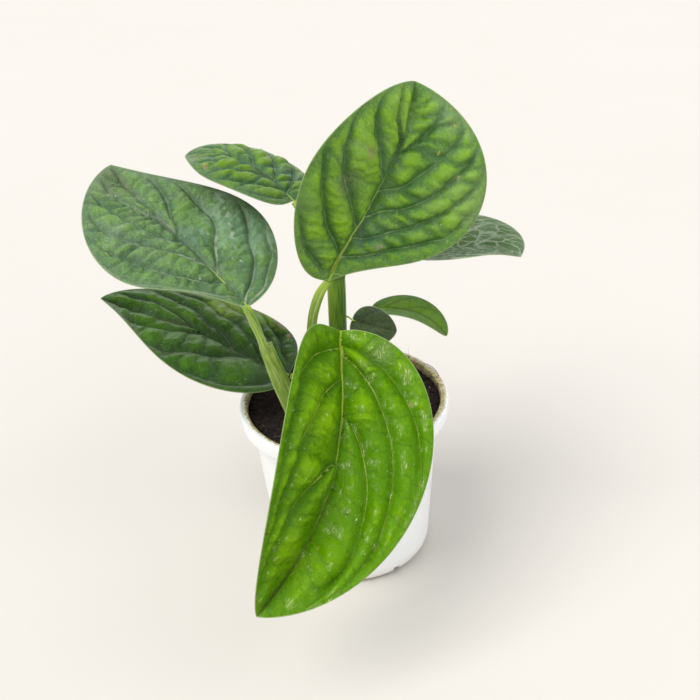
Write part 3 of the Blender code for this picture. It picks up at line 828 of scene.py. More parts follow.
SKINS = {
    "leaf_top": Skin(
        cell=9.0, slant=0.8, height=3.8, crease=2.5, cross=0.58, waver=0.9,
        raised=(0.175, 0.36, 0.0), sunk=(0.046, 0.14, 0.018), vein=(0.24, 0.36, 0.10), vein_share=0.75,
        midrib_reach=0.62, wax_and_sheen=0.2, net=0.05, grain=0.25, pebble=0.13, mottle=0.14, scuff_and_glint=0.3, speck=0.5,
        tints_and_painted_light=(
            # The dark blue-green tint beside the midrib is painted shade, and the two pale grey tints on the
            # right half are painted sheen.
            (12.5, 25, 2.2, (0.42, 0.33, 0.24), 0.9), (8, 30, 13, (0.035, 0.10, 0.06), 0.6),
            (-22, 44, 8, (0.14, 0.12, 0.05), 0.35), (-6, 84, 15, (0.20, 0.37, 0.02), 0.5),
            (24, 92, 19, (0.25, 0.36, 0.17), 0.3), (41, 60, 17, (0.25, 0.37, 0.12), 0.35),
            (-36, 30, 16, (0.10, 0.23, 0.01), 0.5), (-18, 60, 5, (0.24, 0.24, 0.08), 0.6),
            (22, 86, 0.9, AMBER, 0.9), (18, 73, 0.9, AMBER, 0.9), (32, 67, 0.9, AMBER, 0.9),
        ),
    ),
    "leaf_upper_left": Skin(
        cell=6.5, slant=0.5, height=3.1, crease=1.9, cross=0.55, waver=1.2, lump=0.05,
        raised=(0.132, 0.275, 0.040), sunk=(0.039, 0.110, 0.029), vein=(0.34, 0.40, 0.26), vein_share=0.9,
        thread=0.5, groove=0.08, midrib_reach=0.3, wax_and_sheen=0.38, net=0.06, grain=0.7, pebble=0.16, mottle=0.4,
        shine=0.4, scuff_and_glint=0.5, speck=1.0, fold=0.2, sky_sheen=0.2,
        tints_and_painted_light=(
            # The two pale tints on the right half are painted light where it curls away from the key light.
            (4, 45, 10, (0.05, 0.13, 0.09), 0.6), (30, 38, 26, (0.19, 0.33, 0.19), 0.8),
            (40, 58, 13, (0.26, 0.40, 0.26), 0.7), (-8, 92, 16, (0.13, 0.17, 0.06), 0.5),
            (12, 11, 13, (0.05, 0.12, 0.06), 0.5), (32, 56, 2.2, DUST, 0.7), (30, 51, 1.6, DUST, 0.7),
            (28, 46, 2.4, DUST, 0.7), (24, 40, 2.0, DUST, 0.7), (20, 34, 2.2, DUST, 0.7),
            (17, 28, 1.6, DUST, 0.6), (14, 21, 1.4, DUST, 0.6),
        ),
    ),
    "leaf_lower_left": Skin(
        cell=11.0, slant=0.4, height=3.2, crease=3.0, cross=0.4, waver=1.0,
        raised=(0.056, 0.165, 0.0), sunk=(0.021, 0.062, 0.008), vein=(0.16, 0.20, 0.13), thread=0.32,
        groove=0.4, midrib_reach=0.1, wax_and_sheen=0.08, pebble=0.12, shine=0.15, scuff_and_glint=0.3, speck=0.5, sky_sheen=0.4,
        scars=((34, 18.3, 2.2), (26.9, 9.7, 2.0)),
        tints_and_painted_light=(
            # The two pale green tints on the right half are painted light where the upper left blade shades
            # it.
            (-12, 66, 18, (0.065, 0.18, 0.003), 0.6), (32, 48, 16, (0.22, 0.34, 0.04), 0.8),
            (35, 28, 12, (0.17, 0.31, 0.01), 0.8), (32, 16, 6, (0.16, 0.16, 0.01), 0.5),
        ),
    ),
    "leaf_front": Skin(
        cell=9.0, slant=0.4, height=4.8, crease=3.4, cross=0.3, waver=0.3, lump=0.02,
        raised=(0.145, 0.31, 0.0), sunk=(0.062, 0.175, 0.0), vein=(0.34, 0.42, 0.06), vein_share=0.85,
        groove=0.4, midrib_reach=0.62, wax_and_sheen=0.03, net=0.02, grain=0.12, pebble=0.17, mottle=0.06,
        rough=0.35, shine=0.07, scuff_and_glint=0.7, speck=0.5, fold=0.45, glint=0.6,
        tints_and_painted_light=(
            (-30, 34, 1.6, (0.34, 0.26, 0.12), 0.7), (-18, 12, 11, (0.10, 0.16, 0.05), 0.4),
            # The two wide dark tints on the left half are painted shade.
            (-4, 84, 12, (0.06, 0.12, 0.01), 0.5), (-26, 60, 34, (0.07, 0.195, 0.0), 0.8),
            (-14, 92, 26, (0.08, 0.21, 0.0), 0.65), (14, 42, 15, (0.17, 0.34, 0.0), 0.6),
            (4, 108, 14, (0.17, 0.33, 0.0), 0.4),
        ),
    ),
    "leaf_back_left": Skin(
        cell=11.0, slant=0.9, height=3.0, crease=2.0, cross=0.6, waver=0.4, lump=0.04,
        raised=(0.13, 0.255, 0.0), sunk=(0.045, 0.12, 0.042), vein=(0.24, 0.34, 0.18), thread=0.3,
        groove=0.4, midrib_reach=0.2, wax_and_sheen=0.2, shine=0.15, sky_sheen=0.35,
        tints_and_painted_light=((-20, 44, 2.2, (0.40, 0.34, 0.16), 0.55), (-10, 60, 9, (0.24, 0.27, 0.16), 0.5)),
    ),
    "leaf_back_right": Skin(
        cell=7.5, slant=0.4, height=1.5, crease=1.3, cross=0.35, waver=0.4, lump=0.04,
        raised=(0.042, 0.10, 0.012), sunk=(0.10, 0.16, 0.07), vein=(0.40, 0.47, 0.35), vein_share=1.0,
        thread=0.8, groove=0.0, midrib_reach=0.2, wax_and_sheen=0.12, net=0.55, grain=0.4, mottle=0.1, rough=0.40,
        tints_and_painted_light=((0, 72, 2.0, (0.26, 0.13, 0.06), 0.7),), fold=0.0, stretch=0.36,
    ),
    "leaf_small_dark": Skin(
        cell=5.0, slant=0.3, height=1.2, crease=0.9, cross=0.3, waver=0.2, lump=0.04,
        raised=(0.045, 0.075, 0.02), sunk=(0.026, 0.046, 0.014), vein=(0.10, 0.15, 0.07), thread=0.22,
        midrib_reach=0.1, wax_and_sheen=0.15, net=0.12, grain=0.5, pebble=0.15, rough=0.5, shine=0.2,
    ),
    "leaf_small_right": Skin(
        cell=6.0, slant=0.4, height=0.35, crease=1.0, cross=0.2, waver=0.2,
        raised=(0.10, 0.20, 0.008), sunk=(0.06, 0.14, 0.008), vein=(0.16, 0.30, 0.06), vein_share=0.3,
        thread=0.22, midrib_reach=0.3, wax_and_sheen=0.12, net=0.03, grain=0.15, pebble=0.1, mottle=0.15,
        rough=0.35, shine=0.12, speck=0.2,
    ),
}
LEAF_SLOTS = {
    "leaf_top": "leaf_bright", "leaf_front": "leaf_bright", "leaf_back_left": "leaf_bright",
    "leaf_upper_left": "leaf_blue_green", "leaf_back_right": "leaf_blue_green",
    "leaf_lower_left": "leaf_dark", "leaf_small_dark": "leaf_dark", "leaf_small_right": "leaf_dark",
}

# ---------------------------------------------------------------- stem and stalks

FRONT = (0, -1, 0)
# Each point of a route is x, y, z and a radius.
STEM = (
    (-1.8, 5, 50, 3.9), (-1.6, 5, 70, 4.2), (-1.5, 5, 90, 4.7), (-1.2, 5, 100, 4.3), (-0.6, 4.5, 125, 4.3),
    (0.0, 4.7, 145, 4.35), (0.1, 6.5, 156, 4.1), (-0.6, 9.5, 166, 3.5), (-1.6, 12.5, 174, 2.2),
)
STEM_RINGS = (47.0, 51.5, 62.5, 102.0)
STALKS = {
    "stalk_top": (
        (-2, 3.5, 97, 2.8), (-9.5, -0.5, 106.5, 2.4), (-13.2, -4, 122, 2.35), (-12.0, -6.4, 136.5, 2.3),
        (-8.2, -7.2, 148.5, 2.3), (-3.9, -7, 155.0, 1.7),
    ),
    "stalk_lower_left": (
        (-2, 4.6, 91, 2.6), (-10, 4.2, 93.2, 2.2), (-18.5, 4, 95.6, 2.0), (-26.0, 4, 99.0, 1.6),
    ),
    "stalk_front": (
        (-0.6, 3.5, 108, 2.7), (-0.4, -4, 112, 2.3), (0.0, -11.5, 117.5, 2.1), (0.1, -16.9, 125, 1.9),
        (0.5, -19.0, 132.1, 1.6),
    ),
    "stalk_back_left": (
        (-1.2, 11, 168, 2.4), (-7, 12.5, 174, 2.0), (-13, 15.5, 180, 1.9), (-17.2, 19.6, 184.6, 1.5),
    ),
    "stalk_back_right": (
        (0, 6, 148, 2.5), (5, 18, 153, 2.0), (13, 31, 156.5, 1.8), (20.5, 34.3, 156.3, 1.6),
        (26.1, 32.2, 154.9, 1.3),
    ),
    "stalk_small_dark": ((0, 4.5, 131, 0.55), (4.2, 1.5, 132, 0.45), (6.2, -0.8, 131.6, 0.4)),
    "stalk_small_right": (
        (0, 5.5, 108, 1.9), (6, 9, 115, 1.3), (11.5, 13, 122, 1.1), (15.9, 15.9, 126.4, 0.9),
    ),
}
SHEATHED_STALK = (
    (-15.5, -20, 58, 4.4), (-19.9, -21.2, 78, 4.4), (-23.6, -22.4, 94, 4.3), (-28.0, -23.8, 112, 4.2),
    (-31.1, -24.9, 124, 4.1), (-33.9, -25.7, 134, 3.6),
)
WING = (
    (-33.0, -26.0, 128.0, 2.2), (-33.5, -26.7, 132.0, 2.45), (-33.8, -27.0, 133.1, 2.44),
    (-34.7, -27.6, 136.8, 2.1), (-35.7, -27.9, 140.5, 1.79), (-37.5, -28.3, 146.0, 1.63),
    (-38.8, -28.5, 150.2, 1.32), (-39.8, -28.6, 153.0, 1.14), (-41.3, -28.2, 156.1, 0.95),
)
WING_TIP = (
    (-30.2, -25.4, 129.0, 1.2), (-30.7, -25.9, 132.3, 1.1), (-30.9, -26.3, 135.0, 0.75),
    (-30.6, -26.6, 136.8, 0.1),
)
PETIOLE = (
    (-33.4, -25.2, 130.0, 1.5), (-34.4, -25.7, 136.0, 1.5), (-35.1, -26.0, 139.3, 1.5),
    (-36.3, -26.4, 144.8, 1.5), (-37.5, -26.6, 149.0, 1.5), (-38.4, -26.8, 151.8, 1.6),
    (-39.2, -26.8, 154.0, 1.5), (-39.8, -26.6, 155.4, 1.1),
)
# How far the sheath reaches to each side, by the distance along the stalk.
SHEATH_LEFT = ((0, 4.4), (41, 4.3), (57, 4.5), (68, 3.8), (73, 3.3), (80, 2.6))
SHEATH_RIGHT = ((0, 4.4), (50, 4.2), (58, 4.1), (68, 3.7), (73, 3.6), (80, 3.9))
# Sections of the sheath and of its free wing, for a radius of 1.
SHEATH_SIDE = (
    (0.15, -0.75), (0.45, -0.66), (0.75, -0.47), (0.93, -0.25), (1.0, 0.0), (0.97, 0.22), (0.86, 0.38),
    (0.66, 0.46), (0.5, 0.42), (0.36, 0.46), (0.12, 0.52),
)
WING_OUTLINE = (
    (-1.0, -0.9), (-0.95, -0.35), (-0.75, 0.06), (-0.4, 0.30), (0, 0.40), (0.35, 0.40), (0.7, 0.33),
    (0.93, 0.22), (1.0, 0.0), (0.9, -0.08), (0.6, 0.10), (0.2, 0.16), (-0.2, 0.08), (-0.5, -0.08),
    (-0.72, -0.4), (-0.78, -0.9),
)


def stalk_material(name, light, shade, groove, streak=0.5, lit_side=0.0):
    """Green skin with streaks along it. groove is how pale the strip down its front is, and the last argument
    how much paler its left side is painted, as painted light.
    """
    paint = Paint(name)
    skin = paint.attribute("skin", "Vector")
    x, y, _ = paint.split(skin)
    streaks = paint.noise(paint.scale(skin, (1.0, 1.0, 0.05)), 1.6, 4.0, 0.6)
    patches = paint.noise(skin, 0.08, 3.0, 0.6)
    paint.colour = paint.mix(paint.span(streaks, 0.40, 0.62), shade, light)
    paint.coat(shade, paint.span(patches, 0.42, 0.72, 0.0, streak))
    # Painted light: the left side, towards the key light, is painted paler.
    paint.coat((0.25, 0.38, 0.04), paint.span(x, -4.5, 1.5, lit_side, 0.0))
    strip = paint.times(paint.fade(paint.math("ABSOLUTE", x), 0.1, 0.5), paint.span(y, 0.3, 1.2))
    paint.coat((0.42, 0.55, 0.26), strip, groove)
    paint.coat((0.50, 0.60, 0.30), paint.attribute("lip"), 0.6)
    paint.coat((0.30, 0.42, 0.03), paint.span(paint.attribute("reach"), 0.84, 0.97, 0.0, 0.6))
    dots = paint.spots(skin, 0.9, 0.06, 0.14)
    paint.coat((0.52, 0.60, 0.36), dots, paint.span(patches, 0.5, 0.6, 0.0, 0.5))
    paint.bump(streaks, 0.25, 0.0003)
    return paint.finish(paint.span(patches, 0.3, 0.7, 0.38, 0.5), 0.3)


def swept(route, section, per_span):
    """Sweeps a section, given by a function of the distance and the radius, along a route."""
    curve = smooth_curve(route, per_span)
    centres, radii = curve[:, :3], curve[:, 3]
    ways = np.gradient(centres, axis=0)
    travelled = distances(centres)
    across = unit(np.cross(ways, FRONT))
    forward = unit(np.cross(across, ways))
    shape = np.stack([section(s, r) for s, r in zip(travelled, radii)])
    points = centres[:, None] + across[:, None] * shape[..., :1] + forward[:, None] * shape[..., 1:2]
    skin = np.concatenate([shape, np.broadcast_to(travelled[:, None, None], (*shape.shape[:2], 1))], -1)
    rows, columns = shape.shape[:2]
    faces = grid_faces(rows, columns, closed=True)
    faces.append(range(columns - 1, -1, -1))
    faces.append(range((rows - 1) * columns, rows * columns))
    fields = {"skin": skin.reshape(-1, 3), "reach": np.repeat(travelled / travelled[-1], columns)}
    return points.reshape(-1, 3), faces, fields


def round_section(sides, ridges, depth, channel=0.0, rings=()):
    """A circle with shallow ridges along it, a channel down its front, and rings around it."""
    angles = np.arange(sides) * TURN / sides
    front = hump(angles - math.pi / 2, 0.30)

    def section(travelled, radius):
        ring = sum(0.38 * hump(travelled - place, 0.7) for place in rings)
        r = radius + ring + depth * np.cos(ridges * angles + 0.02 * travelled) - channel * front * radius
        return np.stack([r * np.cos(angles), r * np.sin(angles)], -1)

    return section


def sheath_section(travelled, radius):
    """A closed sheath, which bulges to the front and is wider on one side than on the other."""
    side = np.array(SHEATH_SIDE)
    outline = np.concatenate([side, side[::-1] * (-1, 1)])
    left = np.interp(travelled, *zip(*SHEATH_LEFT))
    right = np.interp(travelled, *zip(*SHEATH_RIGHT))
    return outline * np.stack([np.where(outline[:, 0] > 0, right, left), np.full(len(outline), radius)], -1)


def wing_section(travelled, radius):
    return radius * np.array(WING_OUTLINE)


def add_stalks():
    green = stalk_material("stem_green", (0.105, 0.215, 0.010), (0.035, 0.10, 0.005), 0.0, 0.4, 0.55)
    pale = stalk_material("stalk_green", (0.31, 0.41, 0.07), (0.15, 0.26, 0.03), 0.55)
    sheath = stalk_material("sheath_green", (0.36, 0.47, 0.11), (0.17, 0.29, 0.03), 0.0, 0.6)
    points, faces, fields = swept(STEM, round_section(48, 7, 0.12, rings=STEM_RINGS), 30)
    add_piece("main_stem_round", points, faces, green, "stem", "main_stem", fields)
    for name, route in STALKS.items():
        section = round_section(28, 5, 0.02 * route[0][3], channel=0.14)
        points, faces, fields = swept(route, section, 18)
        add_piece(name + "_round", points, faces, pale, "stalk", name, fields)
    add_sheathed_stalk(sheath)


def add_sheathed_stalk(material):
    """The closed sheath below, and above it the free wing in front of the round petiole."""
    wing_lip = ramp(np.abs(wing_section(0, 1.0)[:, 0] - 0.1), 0.75, 0.9)
    # Each part is its body, its lip and whether its end turns lime.
    parts = (
        (swept(SHEATHED_STALK, sheath_section, 30), 0.0, False),
        (swept(WING, wing_section, 12), wing_lip, False),
        (swept(WING_TIP, wing_section, 8), wing_lip, False),
        (swept(PETIOLE, round_section(24, 4, 0.05, channel=0.35), 14), 0.0, True),
    )
    points, faces = joined(body[:2] for body, _, _ in parts)
    fields = {
        "skin": np.concatenate([body[2]["skin"] for body, _, _ in parts]),
        "reach": np.concatenate([body[2]["reach"] * lime for body, _, lime in parts]),
        "lip": np.concatenate([np.resize(lip, len(body[0])) for body, lip, _ in parts]),
    }
    add_piece("stalk_upper_left_sheath", points, faces, material, "stalk", "stalk_upper_left", fields)


# ---------------------------------------------------------------- pot

POT_HEIGHT = 88.0
RIM_RADIUS = 52.5
NECK_RADIUS = 46.9
FOOT_RADIUS = 41.5
FOOT_ROUNDING = 4.0
WALL = 1.3
WALL_STEP = 12.6
BASE_THICKNESS = 1.8
SHOULDER_Z = 80.0
SHOULDER_STEP = 3.0
SHOULDER_RISE = 0.9
SKIRT_LENGTH = 7.0
SKIRT_ROUNDING = 0.4
INNER_LIP = 0.8
BASE_RING = 20
POT_SIDES = 168
HOLES = ((6, 2.6, 25.0), (4, 2.2, 39.9))  # how many, their radius and the radius of their ring
HOLE_TURN = 0.35
STAIN_WAY = (0.93, 0.36, 0.0)


def arc(centre, radius, first, last, steps):
    angles = np.radians(np.linspace(first, last, steps + 1))
    return [(centre[0] + radius * math.cos(a), centre[1] + radius * math.sin(a)) for a in angles]


def inner_radius(z):
    """Of the pot, below its shoulder."""
    rise = (z - FOOT_ROUNDING) / (SHOULDER_Z - FOOT_ROUNDING)
    return FOOT_RADIUS + (NECK_RADIUS - FOOT_RADIUS) * rise - WALL


def turned(profile, sides):
    """Turns a profile of (radius, z), which starts and ends on the axis, into a closed body."""
    angles = np.arange(sides) * TURN / sides
    rings = [np.stack([r * np.cos(angles), r * np.sin(angles), 0 * angles + z], -1) for r, z in profile[1:-1]]
    points = np.vstack(rings + [[(0, 0, profile[0][1]), (0, 0, profile[-1][1])]])
    faces = grid_faces(len(rings), sides, closed=True)
    first, last = len(points) - 2, len(points) - 1
    top = (len(rings) - 1) * sides
    for k in range(sides):
        following = (k + 1) % sides
        faces.append((first, following, k))
        faces.append((last, top + k, top + following))
    return points, faces


def pot_profile():
    """From the middle of the base, up the outside, over the rim and down the inside."""
    upper_outer = NECK_RADIUS + SHOULDER_STEP
    upper_inner = upper_outer - WALL
    skirt = RIM_RADIUS - SKIRT_ROUNDING, POT_HEIGHT - SKIRT_LENGTH + SKIRT_ROUNDING
    foot_centre = FOOT_RADIUS - FOOT_ROUNDING
    inner_shoulder = SHOULDER_Z + WALL
    flare = (NECK_RADIUS - FOOT_RADIUS) / 6
    wall = [(FOOT_RADIUS + flare * k, FOOT_ROUNDING + WALL_STEP * k) for k in range(1, 6)]
    return (
        [(0, 0), (BASE_RING, 0)]
        + arc((foot_centre, FOOT_ROUNDING), FOOT_ROUNDING, -90, 0, 8)
        + wall
        + [(NECK_RADIUS, SHOULDER_Z), (NECK_RADIUS + 0.3, SHOULDER_Z + 0.25)]
        + [(upper_outer, SHOULDER_Z + SHOULDER_RISE), (upper_outer, POT_HEIGHT - WALL)]
        + [(RIM_RADIUS - WALL, POT_HEIGHT - WALL), (RIM_RADIUS - WALL, POT_HEIGHT - SKIRT_LENGTH)]
        + arc(skirt, SKIRT_ROUNDING, -90, 0, 3)
        + arc((RIM_RADIUS - WALL, POT_HEIGHT - WALL), WALL, 0, 90, 7)
        + arc((upper_inner + INNER_LIP, POT_HEIGHT - INNER_LIP), INNER_LIP, 90, 180, 5)
        + [(upper_inner, inner_shoulder + SHOULDER_RISE), (inner_radius(inner_shoulder), inner_shoulder)]
        + arc((foot_centre, BASE_THICKNESS + FOOT_ROUNDING - WALL), FOOT_ROUNDING - WALL, 0, -90, 5)
        + [(BASE_RING, BASE_THICKNESS), (0, BASE_THICKNESS)]
    )


def add_pot():
    """The turned pot, with its holes cut through."""
    points, faces = turned(pot_profile(), POT_SIDES)
    piece = add_piece("pot_turned", points, faces, pot_material(), "pot_plastic", "pot", {})
    cutter = bmesh.new()
    for count, radius, ring in HOLES:
        for k in range(count):
            angle = TURN * (k + HOLE_TURN) / count
            place = Matrix.Translation((ring * math.cos(angle) * MM, ring * math.sin(angle) * MM, 0))
            bmesh.ops.create_cone(cutter, cap_ends=True, segments=32, radius1=radius * MM,
                                  radius2=radius * MM, depth=8 * MM, matrix=place)
    mesh = bpy.data.meshes.new("holes")
    cutter.to_mesh(mesh)
    cutter.free()
    holes = put("holes", mesh)
    cut = piece.modifiers.new("holes", "BOOLEAN")
    cut.operation = "DIFFERENCE"
    cut.object = holes
    drilled = bpy.data.meshes.new_from_object(piece.evaluated_get(bpy.context.evaluated_depsgraph_get()))
    piece.modifiers.clear()
    piece.data = drilled
    bpy.data.objects.remove(holes)
    drilled.shade_smooth()
    drilled.set_sharp_from_angle(angle=0.6)


def pot_material():
    """White plastic. Its rim and its inner wall above the mix are stained, its foot is a little dusty and
    tinted by a painted warm bounce from the floor, and a dark line of painted contact shade runs along its
    bottom.
    """
    paint = Paint("pot_white")
    place = paint.coordinates(1000.0)
    z = paint.split(place)[2]
    radius = paint.vector("LENGTH", paint.scale(place, (1.0, 1.0, 0.0)))
    cloud = paint.noise(place, 0.03, 3.0, 0.6)
    paint.colour = paint.mix(paint.span(cloud, 0.3, 0.7), (0.82, 0.83, 0.82), (0.86, 0.865, 0.85))
    # Dust and painted bounce light: the foot turns warm beige towards the floor.
    dust_and_bounce = paint.clouds(place, 0.12, 0.2, 0.7, 0.5, 1.0, 4.0)
    paint.coat((0.66, 0.60, 0.49), paint.span(z, 0.0, 9.0, 0.75, 0.0), dust_and_bounce)
    # Painted contact shade: a dark line along the very bottom of the foot, broken up by noise.
    contact_shade = paint.clouds(place, 0.3, 0.35, 0.6, 0.3, 0.9, 4.0)
    paint.coat((0.20, 0.14, 0.08), paint.fade(z, 0.3, 1.1), contact_shade)
    ragged = paint.clouds(place, 0.35, 0.25, 0.75, -0.7, 0.7, 4.0, 0.65)
    facing = paint.math("DIVIDE", paint.vector("DOT_PRODUCT", place, STAIN_WAY), radius)
    spread = paint.plus(radius, ragged, paint.span(facing, 0.2, 1.0, -0.5, -2.4))
    within = paint.times(paint.fade(spread, 49.0, 50.2), paint.fade(radius, 51.7, 52.4))
    inside = paint.times(within, paint.span(z, 78.0, 80.0))
    drips = paint.clouds(paint.scale(place, (1.0, 1.0, 0.25)), 0.42, 0.40, 0.60, 0.0, 1.0, 5.0, 0.7)
    stain = paint.mix(drips, (0.50, 0.45, 0.20), (0.27, 0.19, 0.045))
    stain = paint.mix(paint.span(paint.plus(z, ragged), 84.2, 86.4, 0.8, 0.0), stain, (0.24, 0.15, 0.06))
    paint.coat(stain, inside, paint.span(radius, 49.6, 52.0, 0.95, 0.5))
    paint.coat((0.07, 0.035, 0.015), inside, paint.clouds(place, 0.7, 0.57, 0.63, 0.0, 0.85, 3.0, 0.7))
    paint.bump(paint.noise(place, 0.08), 0.012, 0.0004)
    return paint.finish(paint.plus(paint.span(cloud, 0.3, 0.7, 0.30, 0.35), paint.times(inside, 0.35)))


# ---------------------------------------------------------------- potting mix

SOIL_Z = 84.2
SOIL_RADIUS = 48.45
SOIL_GRID = 172
SOIL_SEED = 7
CRUMBS = 900
BIG_CRUMBS = 260
FIBRES = 270
FIBRE_STEPS = 8
TUBE_SIDES = 5
STEM_SPOT = (-1.5, 5.0)
SHEATH_SPOT = (-21.1, -21.6)
BLACK, BARK, STRAW, GRIT = 0.0, 0.4, 0.75, 1.0
# Fibres on the pot's rim at its back right: each is half its thickness and a path of (angle, radius, height).
RIM_FIBRES = (
    (0.16, ((30, 51.4, 88.2), (26, 51.9, 88.3), (22, 51.9, 88.3), (18, 51.6, 88.3), (14, 51.1, 88.3))),
    (0.06, ((41, 47.9, 85.0), (42, 48.3, 87.0), (43, 48.9, 88.6), (44, 49.6, 90.6), (45, 50.6, 92.8))),
    (0.16, ((47, 47.9, 85.0), (45, 48.4, 87.2), (43.5, 49.2, 88.2), (42.5, 49.9, 88.4))),
    (0.14, ((40, 48.0, 84.6), (41, 48.2, 86.4), (43.5, 48.6, 87.8), (46, 49.6, 88.3))),
    (0.14, ((50, 48.0, 84.8), (48, 48.2, 86.6), (47, 48.8, 88.0), (45, 49.8, 88.4))),
    (0.14, ((20, 48.2, 84.8), (19, 48.3, 86.2), (17, 48.3, 87.2), (14, 48.5, 87.6))),
    (0.14, ((8, 48.2, 84.8), (9, 48.3, 86.0), (11, 48.3, 86.9))),
)


def disc_points(count, radius):
    """A square grid pressed into a disc: the border of the grid becomes the border of the disc."""
    even = np.linspace(-1, 1, count)
    a, b = np.meshgrid(even, even, indexing="ij")
    wide = np.abs(a) > np.abs(b)
    far = np.where(wide, a, b)
    turn = math.pi / 4 * np.where(wide, b, a) / np.where(far == 0, 1, far)
    x = far * np.where(wide, np.cos(turn), np.sin(turn))
    y = far * np.where(wide, np.sin(turn), np.cos(turn))
    return (radius * x).ravel(), (radius * y).ravel()


def soil_height(x, y):
    """The top of the mix: slow waves, a rise around each stalk, and clods of three sizes."""
    height = SOIL_Z + 0.45 * math.sin(x / 5 + 1) * math.cos(y / 6) + 0.3 * math.sin(y / 4)
    for spot in (STEM_SPOT, SHEATH_SPOT):
        height += 0.9 * math.exp(-((x - spot[0]) ** 2 + (y - spot[1]) ** 2) / 50)
    push = noise.noise_vector(Vector((x, y, 0)) / 2.1)
    place = Vector((x, y, 0)) + push * 1.1
    height += 0.95 * (0.45 - noise.voronoi(place / 3.2)[0][0])
    height += 0.55 * (0.45 - noise.voronoi(place / 1.35)[0][0])
    height += 0.55 * noise.fractal(place / 1.1, 0.8, 2.0, 4)
    edge = max(0.0, (math.hypot(x, y) - SOIL_RADIUS + 5) / 5)
    return height + 0.5 * edge * noise.noise(Vector((x, y, 5)) / 3.5)


def soil_bed():
    """The bed of mix, from its rough top down to the pot's base."""
    x, y = disc_points(SOIL_GRID, SOIL_RADIUS)
    points = [np.stack([x, y, [soil_height(a, b) for a, b in zip(x, y)]], -1)]
    faces = grid_faces(SOIL_GRID, SOIL_GRID)
    above = grid_border(SOIL_GRID, SOIL_GRID)
    heading = np.arctan2(y[above], x[above])
    corner = BASE_THICKNESS + FOOT_ROUNDING
    levels = (
        (SHOULDER_Z + WALL, inner_radius(SHOULDER_Z)), (40, inner_radius(40)), (corner, inner_radius(corner)),
        (BASE_THICKNESS, FOOT_RADIUS - FOOT_ROUNDING),
    )
    for k, (level, radius) in enumerate(levels):
        ring = [np.cos(heading) * (radius - 0.1), np.sin(heading) * (radius - 0.1), 0 * heading + level + 0.1]
        points.append(np.stack(ring, -1))
        below = SOIL_GRID**2 + len(heading) * k + np.arange(len(heading))
        faces += band(above, below)
        above = below
    faces.append(above.tolist())
    return np.vstack(points), faces


def crumb(centre, size, detail, rng):
    """An angular lump with a random turn."""
    ball = bmesh.new()
    bmesh.ops.create_icosphere(ball, subdivisions=detail, radius=1.0)
    points = np.array([v.co[:] for v in ball.verts])
    faces = [tuple(v.index for v in face.verts) for face in ball.faces]
    ball.free()
    lumps = rng.uniform(0.72, 1.15, (len(points), 1))
    sides = rng.permutation([1.0, rng.uniform(0.6, 1), rng.uniform(0.35, 0.8)])
    turn, _ = np.linalg.qr(rng.normal(size=(3, 3)))
    return points * (lumps * sides) @ turn * size + centre, faces


def fibre(start, heading, length, thick, lift, rng):
    """A thin bent root, which lies on the mix."""
    bend = rng.normal(0, 0.22)
    path = []
    x, y = start
    for k in range(FIBRE_STEPS + 1):
        path.append((x, y, soil_height(x, y) + thick + lift * math.sin(math.pi * k / FIBRE_STEPS)))
        x += math.cos(heading) * length / FIBRE_STEPS
        y += math.sin(heading) * length / FIBRE_STEPS
        heading += bend + rng.normal(0, 0.12)
    return tube(path, thick)


def tube(path, thick):
    """A thin tube, which narrows towards both ends."""
    path = np.array(path, float)
    ways = unit(np.gradient(path, axis=0))
    first = unit(np.cross(ways, (0.3, 0.2, 1.0)))
    second = np.cross(ways, first)
    share = np.linspace(0, 1, len(path))
    radius = (thick * (0.35 + 0.65 * np.sin(math.pi * share) ** 0.5))[:, None, None]
    angles = (np.arange(TUBE_SIDES) * TURN / TUBE_SIDES)[None, :, None]
    ring = first[:, None] * np.cos(angles) + second[:, None] * np.sin(angles)
    faces = grid_faces(len(path), TUBE_SIDES, closed=True)
    count = len(path) * TUBE_SIDES
    faces += [range(TUBE_SIDES - 1, -1, -1), range(count - TUBE_SIDES, count)]
    return (path[:, None] + ring * radius).reshape(-1, 3), faces


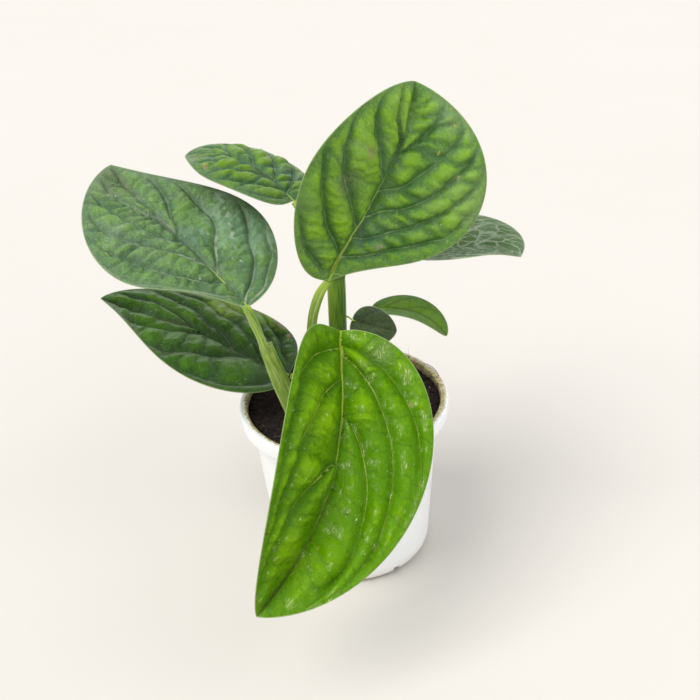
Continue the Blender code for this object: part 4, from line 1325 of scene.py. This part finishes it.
def crumbs_and_fibres(rng):
    """What lies loose on the mix and on the pot's rim. Each part has its points, its faces and its tone."""
    reach = SOIL_RADIUS - 1.2
    for k in range(CRUMBS):
        angle, distance = rng.uniform(0, TURN), reach * math.sqrt(rng.uniform(0, 1))
        if k % 3 == 0:
            distance = reach * rng.uniform(0.93, 1.005)
        x, y = distance * math.cos(angle), distance * math.sin(angle)
        big = k < BIG_CRUMBS
        size = rng.uniform(0.6, 1.15) if big else rng.uniform(0.25, 0.6)
        tone = rng.choice([BLACK, BARK, STRAW, GRIT], p=[0.80, 0.16, 0.02, 0.02])
        yield *crumb((x, y, soil_height(x, y) + 0.25 * size), size, 2 if big else 1, rng), tone
    for k in range(FIBRES):
        angle, distance = rng.uniform(0, TURN), 44 * math.sqrt(rng.uniform(0, 1))
        start = distance * math.cos(angle), distance * math.sin(angle)
        length = min(rng.uniform(3, 13), 1.2 * (SOIL_RADIUS - distance))
        thick = rng.uniform(0.09, 0.26)
        tone = rng.choice([BLACK, BARK, STRAW], p=[0.42, 0.45, 0.13])
        heading, lift = rng.uniform(0, TURN), rng.uniform(-0.2, 0.8)
        yield *fibre(start, heading, length, thick, lift, rng), tone
    for thick, path in RIM_FIBRES:
        route = [(r * math.cos(math.radians(a)), r * math.sin(math.radians(a)), z) for a, r, z in path]
        yield *tube(smooth_curve(route, 4), thick), BARK


def add_soil():
    noise.seed_set(SOIL_SEED)
    parts = [(*soil_bed(), BLACK), *crumbs_and_fibres(np.random.default_rng(SOIL_SEED))]
    points, faces = joined(part[:2] for part in parts)
    fields = {"tone": np.concatenate([np.full(len(part[0]), part[2]) for part in parts])}
    add_piece("potting_mix", points, faces, soil_material(), "potting_mix", "soil", fields)


def soil_material():
    paint = Paint("potting_mix")
    place = paint.coordinates(1000.0)
    tone = paint.attribute("tone")
    grain = paint.noise(place, 1.4, 5.0, 0.7)
    paint.colour = paint.mix(paint.span(grain, 0.35, 0.7), (0.008, 0.004, 0.006), (0.027, 0.015, 0.016))
    paint.coat((0.035, 0.022, 0.014), paint.clouds(place, 0.16, 0.4, 0.7, 0.0, 0.5, 3.0, 0.6))
    kinds = (
        (0.15, 0.3, (0.035, 0.016, 0.009), (0.10, 0.055, 0.03)),
        (0.5, 0.65, (0.10, 0.075, 0.035), (0.22, 0.17, 0.09)),
        (0.85, 0.95, (0.10, 0.085, 0.07), (0.24, 0.21, 0.18)),
    )
    for low, high, dark, light in kinds:
        paint.coat(paint.mix(paint.span(grain, 0.3, 0.7), dark, light), paint.span(tone, low, high))
    paint.bump(grain, 0.5, 0.0004)
    return paint.finish(paint.span(grain, 0.3, 0.7, 0.75, 0.95), 0.25)


def main():
    add_camera()
    add_studio()
    for seed, (name, leaf) in enumerate(LEAVES.items()):
        add_blade(name, leaf, SKINS[name], LEAF_SLOTS[name], seed)
    add_stalks()
    add_pot()
    add_soil()


main()
